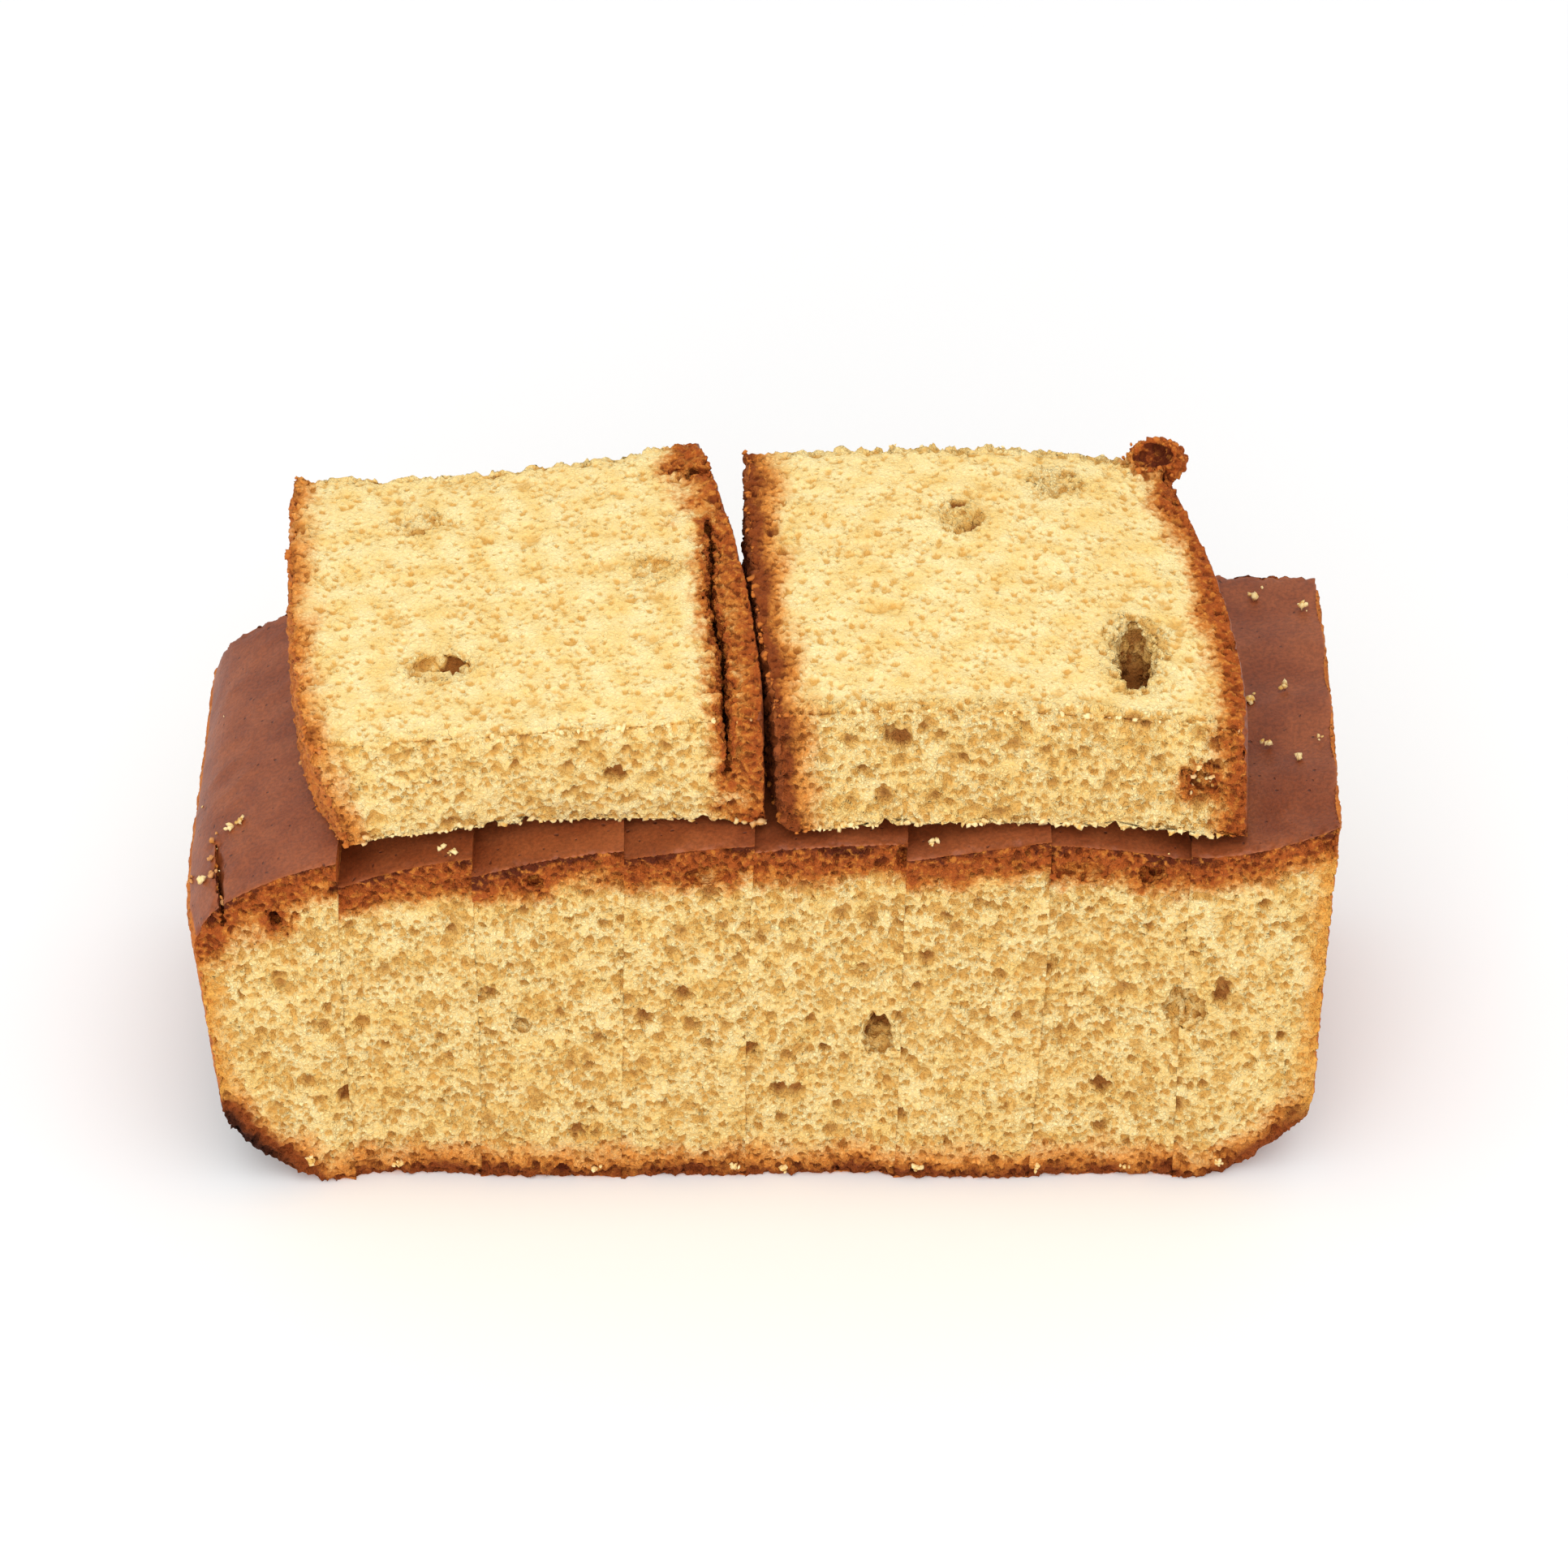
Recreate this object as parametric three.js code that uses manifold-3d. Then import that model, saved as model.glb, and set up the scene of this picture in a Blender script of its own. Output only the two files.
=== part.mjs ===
// A butterscotch sponge cake: a bar cut into upright slices that stand together as a loaf,
// with two more slices lying flat on top of it, cut face up.
// Millimetres, +Z up, the loaf's front towards -Y. Every slice is one closed solid.
import * as THREE from "three";
import { mergeVertices } from "three/addons/utils/BufferGeometryUtils.js";
import Module from "manifold-3d";

const wasm = await Module();
wasm.setup();

// The loaf: a bar cut from a sheet, so its front and back are open crumb and its top is browned crust.
const SLICE_COUNT = 8;
const SLICE_PITCH = 20;
const LOAF_DEPTH = 60;
const LOAF_HEIGHT = 64;
const KNIFE_GAP = 0.4;
const FIRST_SEAM_X = -80;
const LAST_SEAM = SLICE_COUNT;

// Each knife cut strays from its even place, and leans to the left towards the bottom.
const SEAM_WANDER = [0, 0.3, -0.4, 0.5, -1.4, 0.4, 0.2, -0.2, 0];
const SEAM_LEAN = [0, 0, 1.0, 1.0, 1.2, 1.6, 1.5, 0.4, 0];
const SEAM_BOW = 0.45;

// The top of each slice falls short of the loaf's height by this much at its left and right cuts.
const TOP_DROP_LEFT = [13.7, 8.1, 5.2, 2.2, 1.1, 1.9, -0.3, 1.6];
const TOP_DROP_RIGHT = [2.9, 3.3, 0.9, 0.2, 0.1, -1.2, 2.6, -0.8];
const TOP_BULGE = [1.6, 0.8, 0.7, 0.4, 0.4, 0.1, 0.5, -0.5];
const TOP_CROWN = 0.3;
const TOP_RIPPLE = 0.3;

// The slices stand a little forward or back of each other.
const SLICE_FORWARD = [0.8, -0.6, 0.3, 0.0, -0.4, 0.5, -0.3, 0.4];
const BACK_SHARE = 0.5;
const FACE_RIPPLE = 0.35;
const FRONT_PHASE = 0.5;
const BACK_PHASE = 0.8;

// The left end is the pan's wall: it slopes out upwards and turns in by a wide curve at the bottom.
const LEFT_END_X = -81.5;
const LEFT_WALL_HEIGHT = 50;
const LEFT_WALL_SLOPE = 3.6;
const LEFT_TURN_HEIGHT = 14;
const LEFT_TURN_WIDTH = 13;
const LEFT_TURN_POWER = 2;
const LEFT_EDGE_WIDTH = 4.5;
const LEFT_EDGE_FALL = 3.6;
const LEFT_BULGE = 1.1;
const LEFT_BULGE_AT = [0.24, 50];
const LEFT_BULGE_SPAN = [0.3, 24];
const LEFT_FRONT_TURN = 1.2;
const LEFT_FRONT_TURN_SPAN = 0.14;

// The right end slopes out slightly upwards and is pressed in at the bottom.
const RIGHT_END_X = 81;
const RIGHT_WALL_SLOPE = 2;
const RIGHT_TURN_HEIGHT = 12;
const RIGHT_TURN_WIDTH = 11.5;
const RIGHT_TURN_POWER = 1.4;
const RIGHT_FRONT_SET_BACK = 1.9;
const RIGHT_FRONT_RISE = 1.8;
const RIGHT_FRONT_SPAN = 0.45;
const RIGHT_BACK_LEVEL = [0.9, -0.5];
const RIGHT_BACK_REACH = 2.6;

// The slices lying on top. Each edge is given at its two ends and its middle.
const TOP_SLICE_THICKNESS = 19.7;
const REST_CLEARANCE = 0.35;
const LEFT_SLICE = {
  left: [-63.0, -67.2, -68.0],
  right: [0.2, -2.7, -9.8],
  rightSplay: [0.2, 0.4, 2.8],
  nearTop: [-29.6, -28.2, -26.2],
  nearFoot: [-27.6, -23.8, -26.2],
  farTop: [32.4, 32.3, 38.2],
  farFoot: [31.4, 31.8, 37.0],
  cornerWear: 4.5,
  slope: 0.05,
  arch: 0.0,
  sag: 0.4,
};
const RIGHT_SLICE = {
  left: [1.6, -1.7, -2.8],
  right: [67.1, 64.7, 56.4],
  rightSplay: [0.6, 2.2, 3.8],
  nearTop: [-26.6, -26.2, -28.0],
  nearFoot: [-28.2, -27.4, -28.4],
  farTop: [33.8, 33.9, 33.6],
  farFoot: [33.2, 33.4, 32.8],
  cornerWear: 1.5,
  slope: -0.02,
  arch: 1.6,
  sag: 0.5,
};
const TOP_SLICE_RIPPLE = 0.3;
const LEFT_SLICE_PHASE = 3;
const RIGHT_SLICE_PHASE = 5;
const CORNER_WEAR_POWER = 6;

// Cracks run in from the front, as [x, y] at their near and far ends. One splits the right crust of
// the left lying slice from its crumb, and one runs along the rounded crust at the loaf's left end.
const CRUST_CRACK = {
  near: [-4.4, -31.0],
  far: [-8.2, 17.6],
  width: [1.25, 0.3],
  depth: [17, 2.5],
  wander: 0.5,
  steps: 12,
};
const END_CRACK = {
  near: [-76.0, -32.5],
  far: [-77.6, -17.5],
  width: [0.9, 0.25],
  depth: [5, 1.4],
  wander: 0.4,
  steps: 6,
};
const CRACK_OVERRUN = 3;
const CRACK_FLOOR_SHARE = 0.4;
const CRACK_WAVES = 3;
const CRACK_PHASE = 1;

// The far right corner of the right slice ends in a curled scrap of crust with a hollow in it.
const CURL_CENTRE = [56.7, 31.6, 0.6];
const CURL_RADII = [5.0, 3.4, 3.6];
const CURL_HOLLOW_CENTRE = [56.2, 29.9, 3.6];
const CURL_HOLLOW_RADII = [3.5, 2.2, 2.7];

// Holes in the loaf's front as [slice index, centre x, y, z, radius x, y, z].
const FRONT_Y = -LOAF_DEPTH / 2;
const LOAF_HOLES = [
  [2, -31.9, FRONT_Y, 57.7, 1.5, 3.2, 1.6],
  [6, 54.6, FRONT_Y, 58.4, 1.9, 3.6, 1.8],
  [0, -68.6, FRONT_Y, 50.8, 1.2, 2.8, 1.6],
  [4, 19.6, FRONT_Y, 61.6, 1.3, 2.6, 1.8],
  [4, 16.4, FRONT_Y, 28.0, 2.3, 5.0, 4.3],
  [6, 60.0, FRONT_Y, 33.3, 3.2, 3.6, 4.0],
  [7, 60.0, FRONT_Y, 33.3, 3.2, 3.6, 4.0],
  [4, 6.0, FRONT_Y, 21.2, 2.0, 1.6, 2.0],
  [2, -34.7, FRONT_Y, 30.4, 1.5, 2.4, 1.5],
  [3, -8.0, FRONT_Y, 58.6, 3.4, 1.6, 1.6],
  [6, 44.5, FRONT_Y, 59.4, 4.2, 1.9, 2.0],
];
// Holes in the lying slices' upper faces as [centre x, y, height over the face, radius x, y, z].
const LEFT_SLICE_HOLES = [
  [-49.0, 20.2, 0.2, 2.0, 1.6, 1.4],
  [-15.0, 7.0, 0.3, 3.0, 2.2, 1.8],
  [-45.3, -12.9, 0.3, 4.0, 2.6, 2.1],
  [-10.2, 29.5, 0.2, 3.4, 0.9, 2.4],
];
const RIGHT_SLICE_HOLES = [
  [51.8, -13.0, 0.5, 2.9, 7.0, 9.5],
  [27.8, 16.6, 0.2, 1.8, 1.6, 1.5],
  [41.9, 25.0, 0.2, 2.1, 1.7, 1.6],
];
const RIGHT_SLICE_FRONT_HOLES = [
  [61.1, -27.8, 73.4, 1.7, 4.0, 2.3],
];
const HOLE_SECTORS = 10;
const HOLE_RINGS = 8;

// How finely each solid is divided: across, front to back, and upwards.
const MIDDLE_GRID = [5, 10, 10];
const LEFT_END_GRID = [9, 9, 14];
const RIGHT_END_GRID = [7, 9, 13];
const TOP_SLICE_GRID = [14, 13, 4];
// The end slices crowd their divisions towards the rounded edge and the turned-in bottom.
const LEFT_END_CROWD = 1.7;
const END_RISE = 1.25;

// Colours of the crumb and crust seen as a whole.
const LOAF_COLOUR = 0xd9a865;
const TOP_SLICE_COLOUR = 0xe9c886;
const ROUGHNESS = 0.92;

const lerp = THREE.MathUtils.lerp;
const clamp = THREE.MathUtils.clamp;

// A smooth curve through three values at 0, 1/2 and 1.
function through(values, t) {
  const [start, middle, end] = values;
  return start * (1 - t) * (1 - 2 * t) + middle * 4 * t * (1 - t) + end * t * (2 * t - 1);
}

// A slow unevenness between -1 and 1 that differs from piece to piece.
const WAVE_LONG = 23;
const WAVE_SHORT = 13;
const WAVE_PHASES = [1.7, 2.9, 4.3];
const WAVE_BROAD_SHARE = 0.6;
function uneven(a, b, phase) {
  const [across, along, both] = WAVE_PHASES.map((step) => step * phase);
  const broad = Math.sin(a / WAVE_SHORT + across) * Math.cos(b / WAVE_LONG + along);
  const slant = Math.sin((a + b) / WAVE_SHORT + both);
  return WAVE_BROAD_SHARE * broad + (1 - WAVE_BROAD_SHARE) * slant;
}

// The pan wall at the left end, with the wide turn into the bottom.
function leftEndX(y, z) {
  const slope = LEFT_WALL_SLOPE * clamp(1 - z / LEFT_WALL_HEIGHT, 0, 1);
  const turn = clamp((LEFT_TURN_HEIGHT - z) / LEFT_TURN_HEIGHT, 0, 1);
  const v = (y - FRONT_Y) / LOAF_DEPTH;
  const along = (v - LEFT_BULGE_AT[0]) / LEFT_BULGE_SPAN[0];
  const up = (z - LEFT_BULGE_AT[1]) / LEFT_BULGE_SPAN[1];
  const bulge = LEFT_BULGE * Math.exp(-along * along - up * up);
  const corner = clamp(1 - v / LEFT_FRONT_TURN_SPAN, 0, 1);
  const turnIn = LEFT_TURN_WIDTH * Math.pow(turn, LEFT_TURN_POWER) + LEFT_FRONT_TURN * corner * corner;
  return LEFT_END_X + slope + turnIn - bulge + FACE_RIPPLE * uneven(y, z, 0);
}

// The right end, pressed in at the bottom.
function rightEndX(y, z) {
  const slope = RIGHT_WALL_SLOPE * clamp(1 - z / LOAF_HEIGHT, 0, 1);
  const turn = clamp((RIGHT_TURN_HEIGHT - z) / RIGHT_TURN_HEIGHT, 0, 1);
  const turnIn = RIGHT_TURN_WIDTH * Math.pow(turn, RIGHT_TURN_POWER);
  return RIGHT_END_X - slope - turnIn + FACE_RIPPLE * uneven(y, z, LAST_SEAM);
}

// The middle of a knife cut between two slices, or the outer wall at either end.
function seamX(seam, y, z) {
  if (seam === 0) {
    return leftEndX(y, z);
  }
  if (seam === LAST_SEAM) {
    return rightEndX(y, z);
  }
  const lean = SEAM_LEAN[seam] * (1 - z / LOAF_HEIGHT);
  return FIRST_SEAM_X + SLICE_PITCH * seam + SEAM_WANDER[seam] - lean + SEAM_BOW * uneven(y, z, seam);
}

// The height of a slice's top crust, u across the slice and v from front to back.
function topZ(slice, u, v) {
  const drop = lerp(TOP_DROP_LEFT[slice], TOP_DROP_RIGHT[slice], u);
  const bulge = TOP_BULGE[slice] * 4 * u * (1 - u);
  const crown = TOP_CROWN * 4 * v * (1 - v);
  const ripple = TOP_RIPPLE * uneven(SLICE_PITCH * (slice + u), LOAF_DEPTH * v, slice);
  let z = LOAF_HEIGHT - drop + bulge + crown + ripple;
  if (slice === 0) {
    const width = SLICE_PITCH - LEFT_END_X + FIRST_SEAM_X;
    const edge = clamp(1 - (u * width) / LEFT_EDGE_WIDTH, 0, 1);
    z -= LEFT_EDGE_FALL * edge * edge;
  }
  if (slice === SLICE_COUNT - 1) {
    const corner = u * u * clamp(1 - v / RIGHT_FRONT_SPAN, 0, 1);
    z += RIGHT_FRONT_RISE * corner + lerp(...RIGHT_BACK_LEVEL, u) * v * v;
  }
  return z;
}

// The front and back faces of a slice, uneven as a torn crumb is.
function frontY(slice, u, z) {
  const ripple = FACE_RIPPLE * uneven(SLICE_PITCH * (slice + u), z, slice + FRONT_PHASE);
  let y = FRONT_Y - SLICE_FORWARD[slice] + ripple;
  if (slice === SLICE_COUNT - 1) {
    y += RIGHT_FRONT_SET_BACK * u * u;
  }
  return y;
}

function backY(slice, u, z) {
  const reach = slice === SLICE_COUNT - 1 ? RIGHT_BACK_REACH * (1 - u) : 0;
  const ripple = FACE_RIPPLE * uneven(SLICE_PITCH * (slice + u), z, slice + BACK_PHASE);
  return -FRONT_Y + reach - BACK_SHARE * SLICE_FORWARD[slice] + ripple;
}

// A closed box grid whose unit coordinates are carried to their places by a form.
function shapedBox(segments, form) {
  const geometry = new THREE.BoxGeometry(1, 1, 1, ...segments);
  geometry.deleteAttribute("normal");
  geometry.deleteAttribute("uv");
  const merged = mergeVertices(geometry);
  const position = merged.getAttribute("position");
  for (let i = 0; i < position.count; i += 1) {
    const place = form(position.getX(i) + 0.5, position.getY(i) + 0.5, position.getZ(i) + 0.5);
    position.setXYZ(i, ...place);
  }
  return merged;
}

function solidOf(geometry) {
  const mesh = new wasm.Mesh({
    numProp: 3,
    vertProperties: new Float32Array(geometry.getAttribute("position").array),
    triVerts: new Uint32Array(geometry.getIndex().array),
  });
  return new wasm.Manifold(mesh);
}

function geometryOf(solid) {
  const mesh = solid.getMesh();
  const geometry = new THREE.BufferGeometry();
  geometry.setAttribute("position", new THREE.BufferAttribute(new Float32Array(mesh.vertProperties), 3));
  geometry.setIndex(new THREE.BufferAttribute(new Uint32Array(mesh.triVerts), 1));
  geometry.computeVertexNormals();
  return geometry;
}

// An ellipsoid, for holes in the crumb and for the curled scrap of crust.
function ellipsoid(centre, radii) {
  const geometry = new THREE.SphereGeometry(1, HOLE_SECTORS, HOLE_RINGS);
  geometry.deleteAttribute("normal");
  geometry.deleteAttribute("uv");
  geometry.scale(...radii);
  geometry.translate(...centre);
  return solidOf(mergeVertices(geometry));
}

function withHoles(solid, holes) {
  let result = solid;
  for (const [x, y, z, rx, ry, rz] of holes) {
    result = result.subtract(ellipsoid([x, y, z], [rx, ry, rz]));
  }
  return result;
}

// A thin wedge that follows a crack: widest at the upper face, and deepest at the front.
function crackWedge(crack, heightAt) {
  const form = (side, along, up) => {
    const y = lerp(crack.near[1], crack.far[1], along);
    const stray = crack.wander * uneven(CRACK_WAVES * y, y, CRACK_PHASE);
    const middle = lerp(crack.near[0], crack.far[0], along) + stray;
    const depth = lerp(...crack.depth, Math.sqrt(along));
    const width = lerp(...crack.width, along * along) * lerp(CRACK_FLOOR_SHARE, 1, up);
    const z = heightAt(middle, y) + lerp(-depth, CRACK_OVERRUN, up);
    return [middle + (side - 0.5) * width, y, z];
  };
  return solidOf(shapedBox([1, crack.steps, 1], form));
}

// The height of the first slice's crust over a place in its plan.
function endTopZ(x, y) {
  const left = seamX(0, y, LEFT_WALL_HEIGHT);
  const u = clamp((x - left) / (seamX(1, y, LEFT_WALL_HEIGHT) - left), 0, 1);
  return topZ(0, u, clamp((y - FRONT_Y) / LOAF_DEPTH, 0, 1));
}

// One upright slice of the loaf, between two cuts.
function loafSlice(slice) {
  let segments = MIDDLE_GRID;
  let crowd = 1;
  let rise = 1;
  if (slice === 0) {
    segments = LEFT_END_GRID;
    crowd = LEFT_END_CROWD;
    rise = END_RISE;
  }
  if (slice === SLICE_COUNT - 1) {
    segments = RIGHT_END_GRID;
    rise = END_RISE;
  }
  const leftGap = slice === 0 ? 0 : KNIFE_GAP / 2;
  const rightGap = slice === SLICE_COUNT - 1 ? 0 : KNIFE_GAP / 2;
  const form = (a, v, c) => {
    const u = Math.pow(a, crowd);
    const w = Math.pow(c, rise);
    const z = w * topZ(slice, u, v);
    const y = lerp(frontY(slice, u, z), backY(slice, u, z), v);
    const x = lerp(seamX(slice, y, z) + leftGap, seamX(slice + 1, y, z) - rightGap, u);
    return [x, y, z];
  };
  let solid = solidOf(shapedBox(segments, form));
  if (slice === 0) {
    solid = solid.subtract(crackWedge(END_CRACK, endTopZ));
  }
  const holes = LOAF_HOLES.filter((hole) => hole[0] === slice).map((hole) => hole.slice(1));
  return withHoles(solid, holes);
}

// The height of the loaf's crust at a place on it, the higher side where a place is near a cut.
function loafTopZ(x, y) {
  const v = clamp((y - FRONT_Y) / LOAF_DEPTH, 0, 1);
  let highest = 0;
  for (let slice = 0; slice < SLICE_COUNT; slice += 1) {
    const left = seamX(slice, y, LOAF_HEIGHT) - KNIFE_GAP;
    const right = seamX(slice + 1, y, LOAF_HEIGHT) + KNIFE_GAP;
    if (x >= left && x <= right) {
      highest = Math.max(highest, topZ(slice, clamp((x - left) / (right - left), 0, 1), v));
    }
  }
  return highest;
}

// The plan of a slice that lies flat, u from its bottom crust to its top crust, v from near to far.
function lyingPlan(edges, u, v, w) {
  const splay = through(edges.rightSplay, v) * (1 - w);
  const wear = edges.cornerWear * Math.pow(1 - v, CORNER_WEAR_POWER) * (1 - w);
  const x = lerp(through(edges.left, v) + wear, through(edges.right, v) + splay, u);
  const near = lerp(through(edges.nearFoot, u), through(edges.nearTop, u), w);
  const far = lerp(through(edges.farFoot, u), through(edges.farTop, u), w);
  return [x, lerp(near, far, v)];
}

// The slice's own sag over the loaf, before it is set down.
function lyingSag(edges, u, v, x) {
  const arch = edges.arch * 4 * u * (1 - u);
  const sag = edges.sag * (2 * v - 1) * (2 * v - 1);
  return edges.slope * x + arch - sag;
}

// How high a lying slice stands so that it clears the loaf's crust everywhere beneath it.
const REST_SAMPLES = 60;
function restHeight(edges) {
  let height = 0;
  for (let i = 0; i <= REST_SAMPLES; i += 1) {
    for (let j = 0; j <= REST_SAMPLES; j += 1) {
      const u = i / REST_SAMPLES;
      const v = j / REST_SAMPLES;
      const [x, y] = lyingPlan(edges, u, v, 0);
      height = Math.max(height, loafTopZ(x, y) - lyingSag(edges, u, v, x));
    }
  }
  return height + REST_CLEARANCE;
}

// The upper face of a lying slice over a place in its plan.
const PLAN_STEPS = 8;
function faceZ(edges, rest, phase, x, y) {
  let u = 0.5;
  let v = 0.5;
  for (let i = 0; i < PLAN_STEPS; i += 1) {
    const near = through(edges.nearTop, u);
    v = clamp((y - near) / (through(edges.farTop, u) - near), 0, 1);
    const left = through(edges.left, v);
    u = clamp((x - left) / (through(edges.right, v) - left), 0, 1);
  }
  return rest + lyingSag(edges, u, v, x) + TOP_SLICE_THICKNESS + TOP_SLICE_RIPPLE * uneven(x, y, phase);
}

function lyingSlice(edges, rest, phase) {
  const form = (u, v, w) => {
    const [x, y] = lyingPlan(edges, u, v, w);
    const ripple = TOP_SLICE_RIPPLE * uneven(x, y, phase) * w;
    return [x, y, rest + lyingSag(edges, u, v, x) + TOP_SLICE_THICKNESS * w + ripple];
  };
  return solidOf(shapedBox(TOP_SLICE_GRID, form));
}

// A lying slice with holes measured from its upper face.
function lyingPiece(edges, phase, faceHoles, finish) {
  const rest = restHeight(edges);
  const heightAt = (x, y) => faceZ(edges, rest, phase, x, y);
  const holes = faceHoles.map(([x, y, over, ...radii]) => [x, y, heightAt(x, y) + over, ...radii]);
  return withHoles(finish(lyingSlice(edges, rest, phase), heightAt), holes);
}

function crackedCrust(solid, heightAt) {
  return solid.subtract(crackWedge(CRUST_CRACK, heightAt));
}

function curledCorner(solid, heightAt) {
  const [x, y, over] = CURL_CENTRE;
  const [hollowX, hollowY, hollowOver] = CURL_HOLLOW_CENTRE;
  const face = heightAt(x, y);
  const curl = ellipsoid([x, y, face + over], CURL_RADII);
  const hollow = ellipsoid([hollowX, hollowY, face + hollowOver], CURL_HOLLOW_RADII);
  return withHoles(solid.add(curl).subtract(hollow), RIGHT_SLICE_FRONT_HOLES);
}

const leftLying = lyingPiece(LEFT_SLICE, LEFT_SLICE_PHASE, LEFT_SLICE_HOLES, crackedCrust);
const rightLying = lyingPiece(RIGHT_SLICE, RIGHT_SLICE_PHASE, RIGHT_SLICE_HOLES, curledCorner);

const group = new THREE.Group();
group.name = "butterscotch_cake";

function addPiece(name, solid, colour) {
  const material = new THREE.MeshStandardMaterial({ color: colour, roughness: ROUGHNESS, metalness: 0 });
  const mesh = new THREE.Mesh(geometryOf(solid), material);
  mesh.name = name;
  group.add(mesh);
}

for (let slice = 0; slice < SLICE_COUNT; slice += 1) {
  addPiece(`loaf_slice_${slice + 1}`, loafSlice(slice), LOAF_COLOUR);
}
addPiece("top_slice_left", leftLying, TOP_SLICE_COLOUR);
addPiece("top_slice_right", rightLying, TOP_SLICE_COLOUR);

// The origin is the middle of the bottom of the box around the whole cake.
const bounds = new THREE.Box3().setFromObject(group);
const centre = bounds.getCenter(new THREE.Vector3());
for (const mesh of group.children) {
  mesh.geometry.translate(-centre.x, -centre.y, -bounds.min.z);
}

export default group;
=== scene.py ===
# %% [markdown]
# # A sliced butterscotch sponge bar
# The solids give each slice its true size and place: eight slices that still stand together as a bar, and
# two more that lie on it with a cut face up. This lesson gives them what a solid can't: the open crumb, the
# baked crust that fades into it, the smooth brown skin and the loose crumbs that a knife leaves.

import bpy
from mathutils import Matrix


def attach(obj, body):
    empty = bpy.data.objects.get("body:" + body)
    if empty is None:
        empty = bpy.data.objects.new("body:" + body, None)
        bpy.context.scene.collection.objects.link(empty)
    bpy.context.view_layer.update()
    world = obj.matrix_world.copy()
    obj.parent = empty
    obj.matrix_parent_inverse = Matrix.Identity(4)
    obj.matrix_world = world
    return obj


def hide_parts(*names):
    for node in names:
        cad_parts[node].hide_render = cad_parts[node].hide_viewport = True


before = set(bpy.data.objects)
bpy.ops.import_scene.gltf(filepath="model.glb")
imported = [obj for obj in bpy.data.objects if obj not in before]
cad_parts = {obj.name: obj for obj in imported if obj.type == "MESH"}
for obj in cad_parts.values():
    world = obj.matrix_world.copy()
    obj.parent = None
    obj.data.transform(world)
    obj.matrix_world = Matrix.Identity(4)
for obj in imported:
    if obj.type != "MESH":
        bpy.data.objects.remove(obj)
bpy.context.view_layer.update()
print("solid slices:", len(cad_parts))

# %% Tools and units
import math
from collections import namedtuple

import bmesh
import bpy
import numpy as np
from mathutils import Vector
from mathutils.bvhtree import BVHTree
from mathutils.kdtree import KDTree

MM = 0.001
PER_MM = 1.0 / MM
X, Y, Z = range(3)
TRIANGLE = 3


def placed(name, data):
    """A new object at the origin."""
    thing = bpy.data.objects.new(name, data)
    bpy.context.scene.collection.objects.link(thing)
    return thing


print("one millimetre is", MM, "of the scene's units")

# %% [markdown]
# The bar is seen from in front and from well above, about a metre away, through a long lens, so its sides
# stay nearly parallel. A camera's lens is given in millimetres for a sensor 36 mm wide, and it looks down
# its own -Z, so a turn about X of 90 degrees less the angle of view points it at the cake.

# %% Camera
CAMERA_PLACE = Vector((3.41, -750.26, 687.61)) * MM
LOOKS_LEVEL = math.radians(90)
LOOKS_DOWN = math.radians(40.5)
LENS_MM = 156.31
SENSOR_MM = 36.0

camera = placed("camera", bpy.data.cameras.new("camera"))
camera.data.lens = LENS_MM
camera.data.sensor_width = SENSOR_MM
camera.location = CAMERA_PLACE
camera.rotation_euler = (LOOKS_LEVEL - LOOKS_DOWN, 0, 0)
bpy.context.scene.camera = camera
print("camera stands", round(CAMERA_PLACE.length, 3), "m from the foot of the cake")

# %% [markdown]
# Colours are easiest to think of as the 0 to 255 values of a screen, but shaders work in linear light. One
# small function turns the first into the second, and every colour below passes through it.

# %% Colour helper
SCREEN_MAX = 255.0
DARK_END = 0.04045
DARK_SLOPE = 12.92
CURVE_OFFSET = 0.055
CURVE_POWER = 2.4


def screen(red, green, blue):
    """A colour of 0 to 255 on a screen, as linear light with full opacity."""
    linear = []
    for value in (red, green, blue):
        share = value / SCREEN_MAX
        if share <= DARK_END:
            linear.append(share / DARK_SLOPE)
        else:
            linear.append(((share + CURVE_OFFSET) / (1 + CURVE_OFFSET)) ** CURVE_POWER)
    return (*linear, 1.0)


print("middle grey is", round(screen(128, 128, 128)[0], 3), "in linear light")

# %% [markdown]
# Materials here are small networks of nodes. These helpers keep the networks short to read: one adds a node
# with its settings, one feeds a socket with either a fixed value or another node's output, and the rest are
# the steps that every finish of the cake repeats, such as mixing two colours or reading a number stored on
# the mesh.

# %% Node helpers
MIX_FACTOR, MIX_LOW, MIX_HIGH, MIX_RESULT = 0, 6, 7, 2


def add_node(tree, kind, **settings):
    made = tree.nodes.new(kind)
    for name, value in settings.items():
        setattr(made, name, value)
    return made


def feed(tree, source, socket):
    if isinstance(source, bpy.types.NodeSocket):
        tree.links.new(source, socket)
    else:
        socket.default_value = source


def blended(tree, amount, low, high, how="MIX"):
    mix = add_node(tree, "ShaderNodeMix", data_type="RGBA", blend_type=how)
    feed(tree, amount, mix.inputs[MIX_FACTOR])
    feed(tree, low, mix.inputs[MIX_LOW])
    feed(tree, high, mix.inputs[MIX_HIGH])
    return mix.outputs[MIX_RESULT]


def reckon(tree, how, *values):
    step = add_node(tree, "ShaderNodeMath", operation=how)
    for value, socket in zip(values, step.inputs):
        feed(tree, value, socket)
    return step.outputs[0]


def stored(tree, name):
    return add_node(tree, "ShaderNodeAttribute", attribute_name=name).outputs["Fac"]


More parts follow.
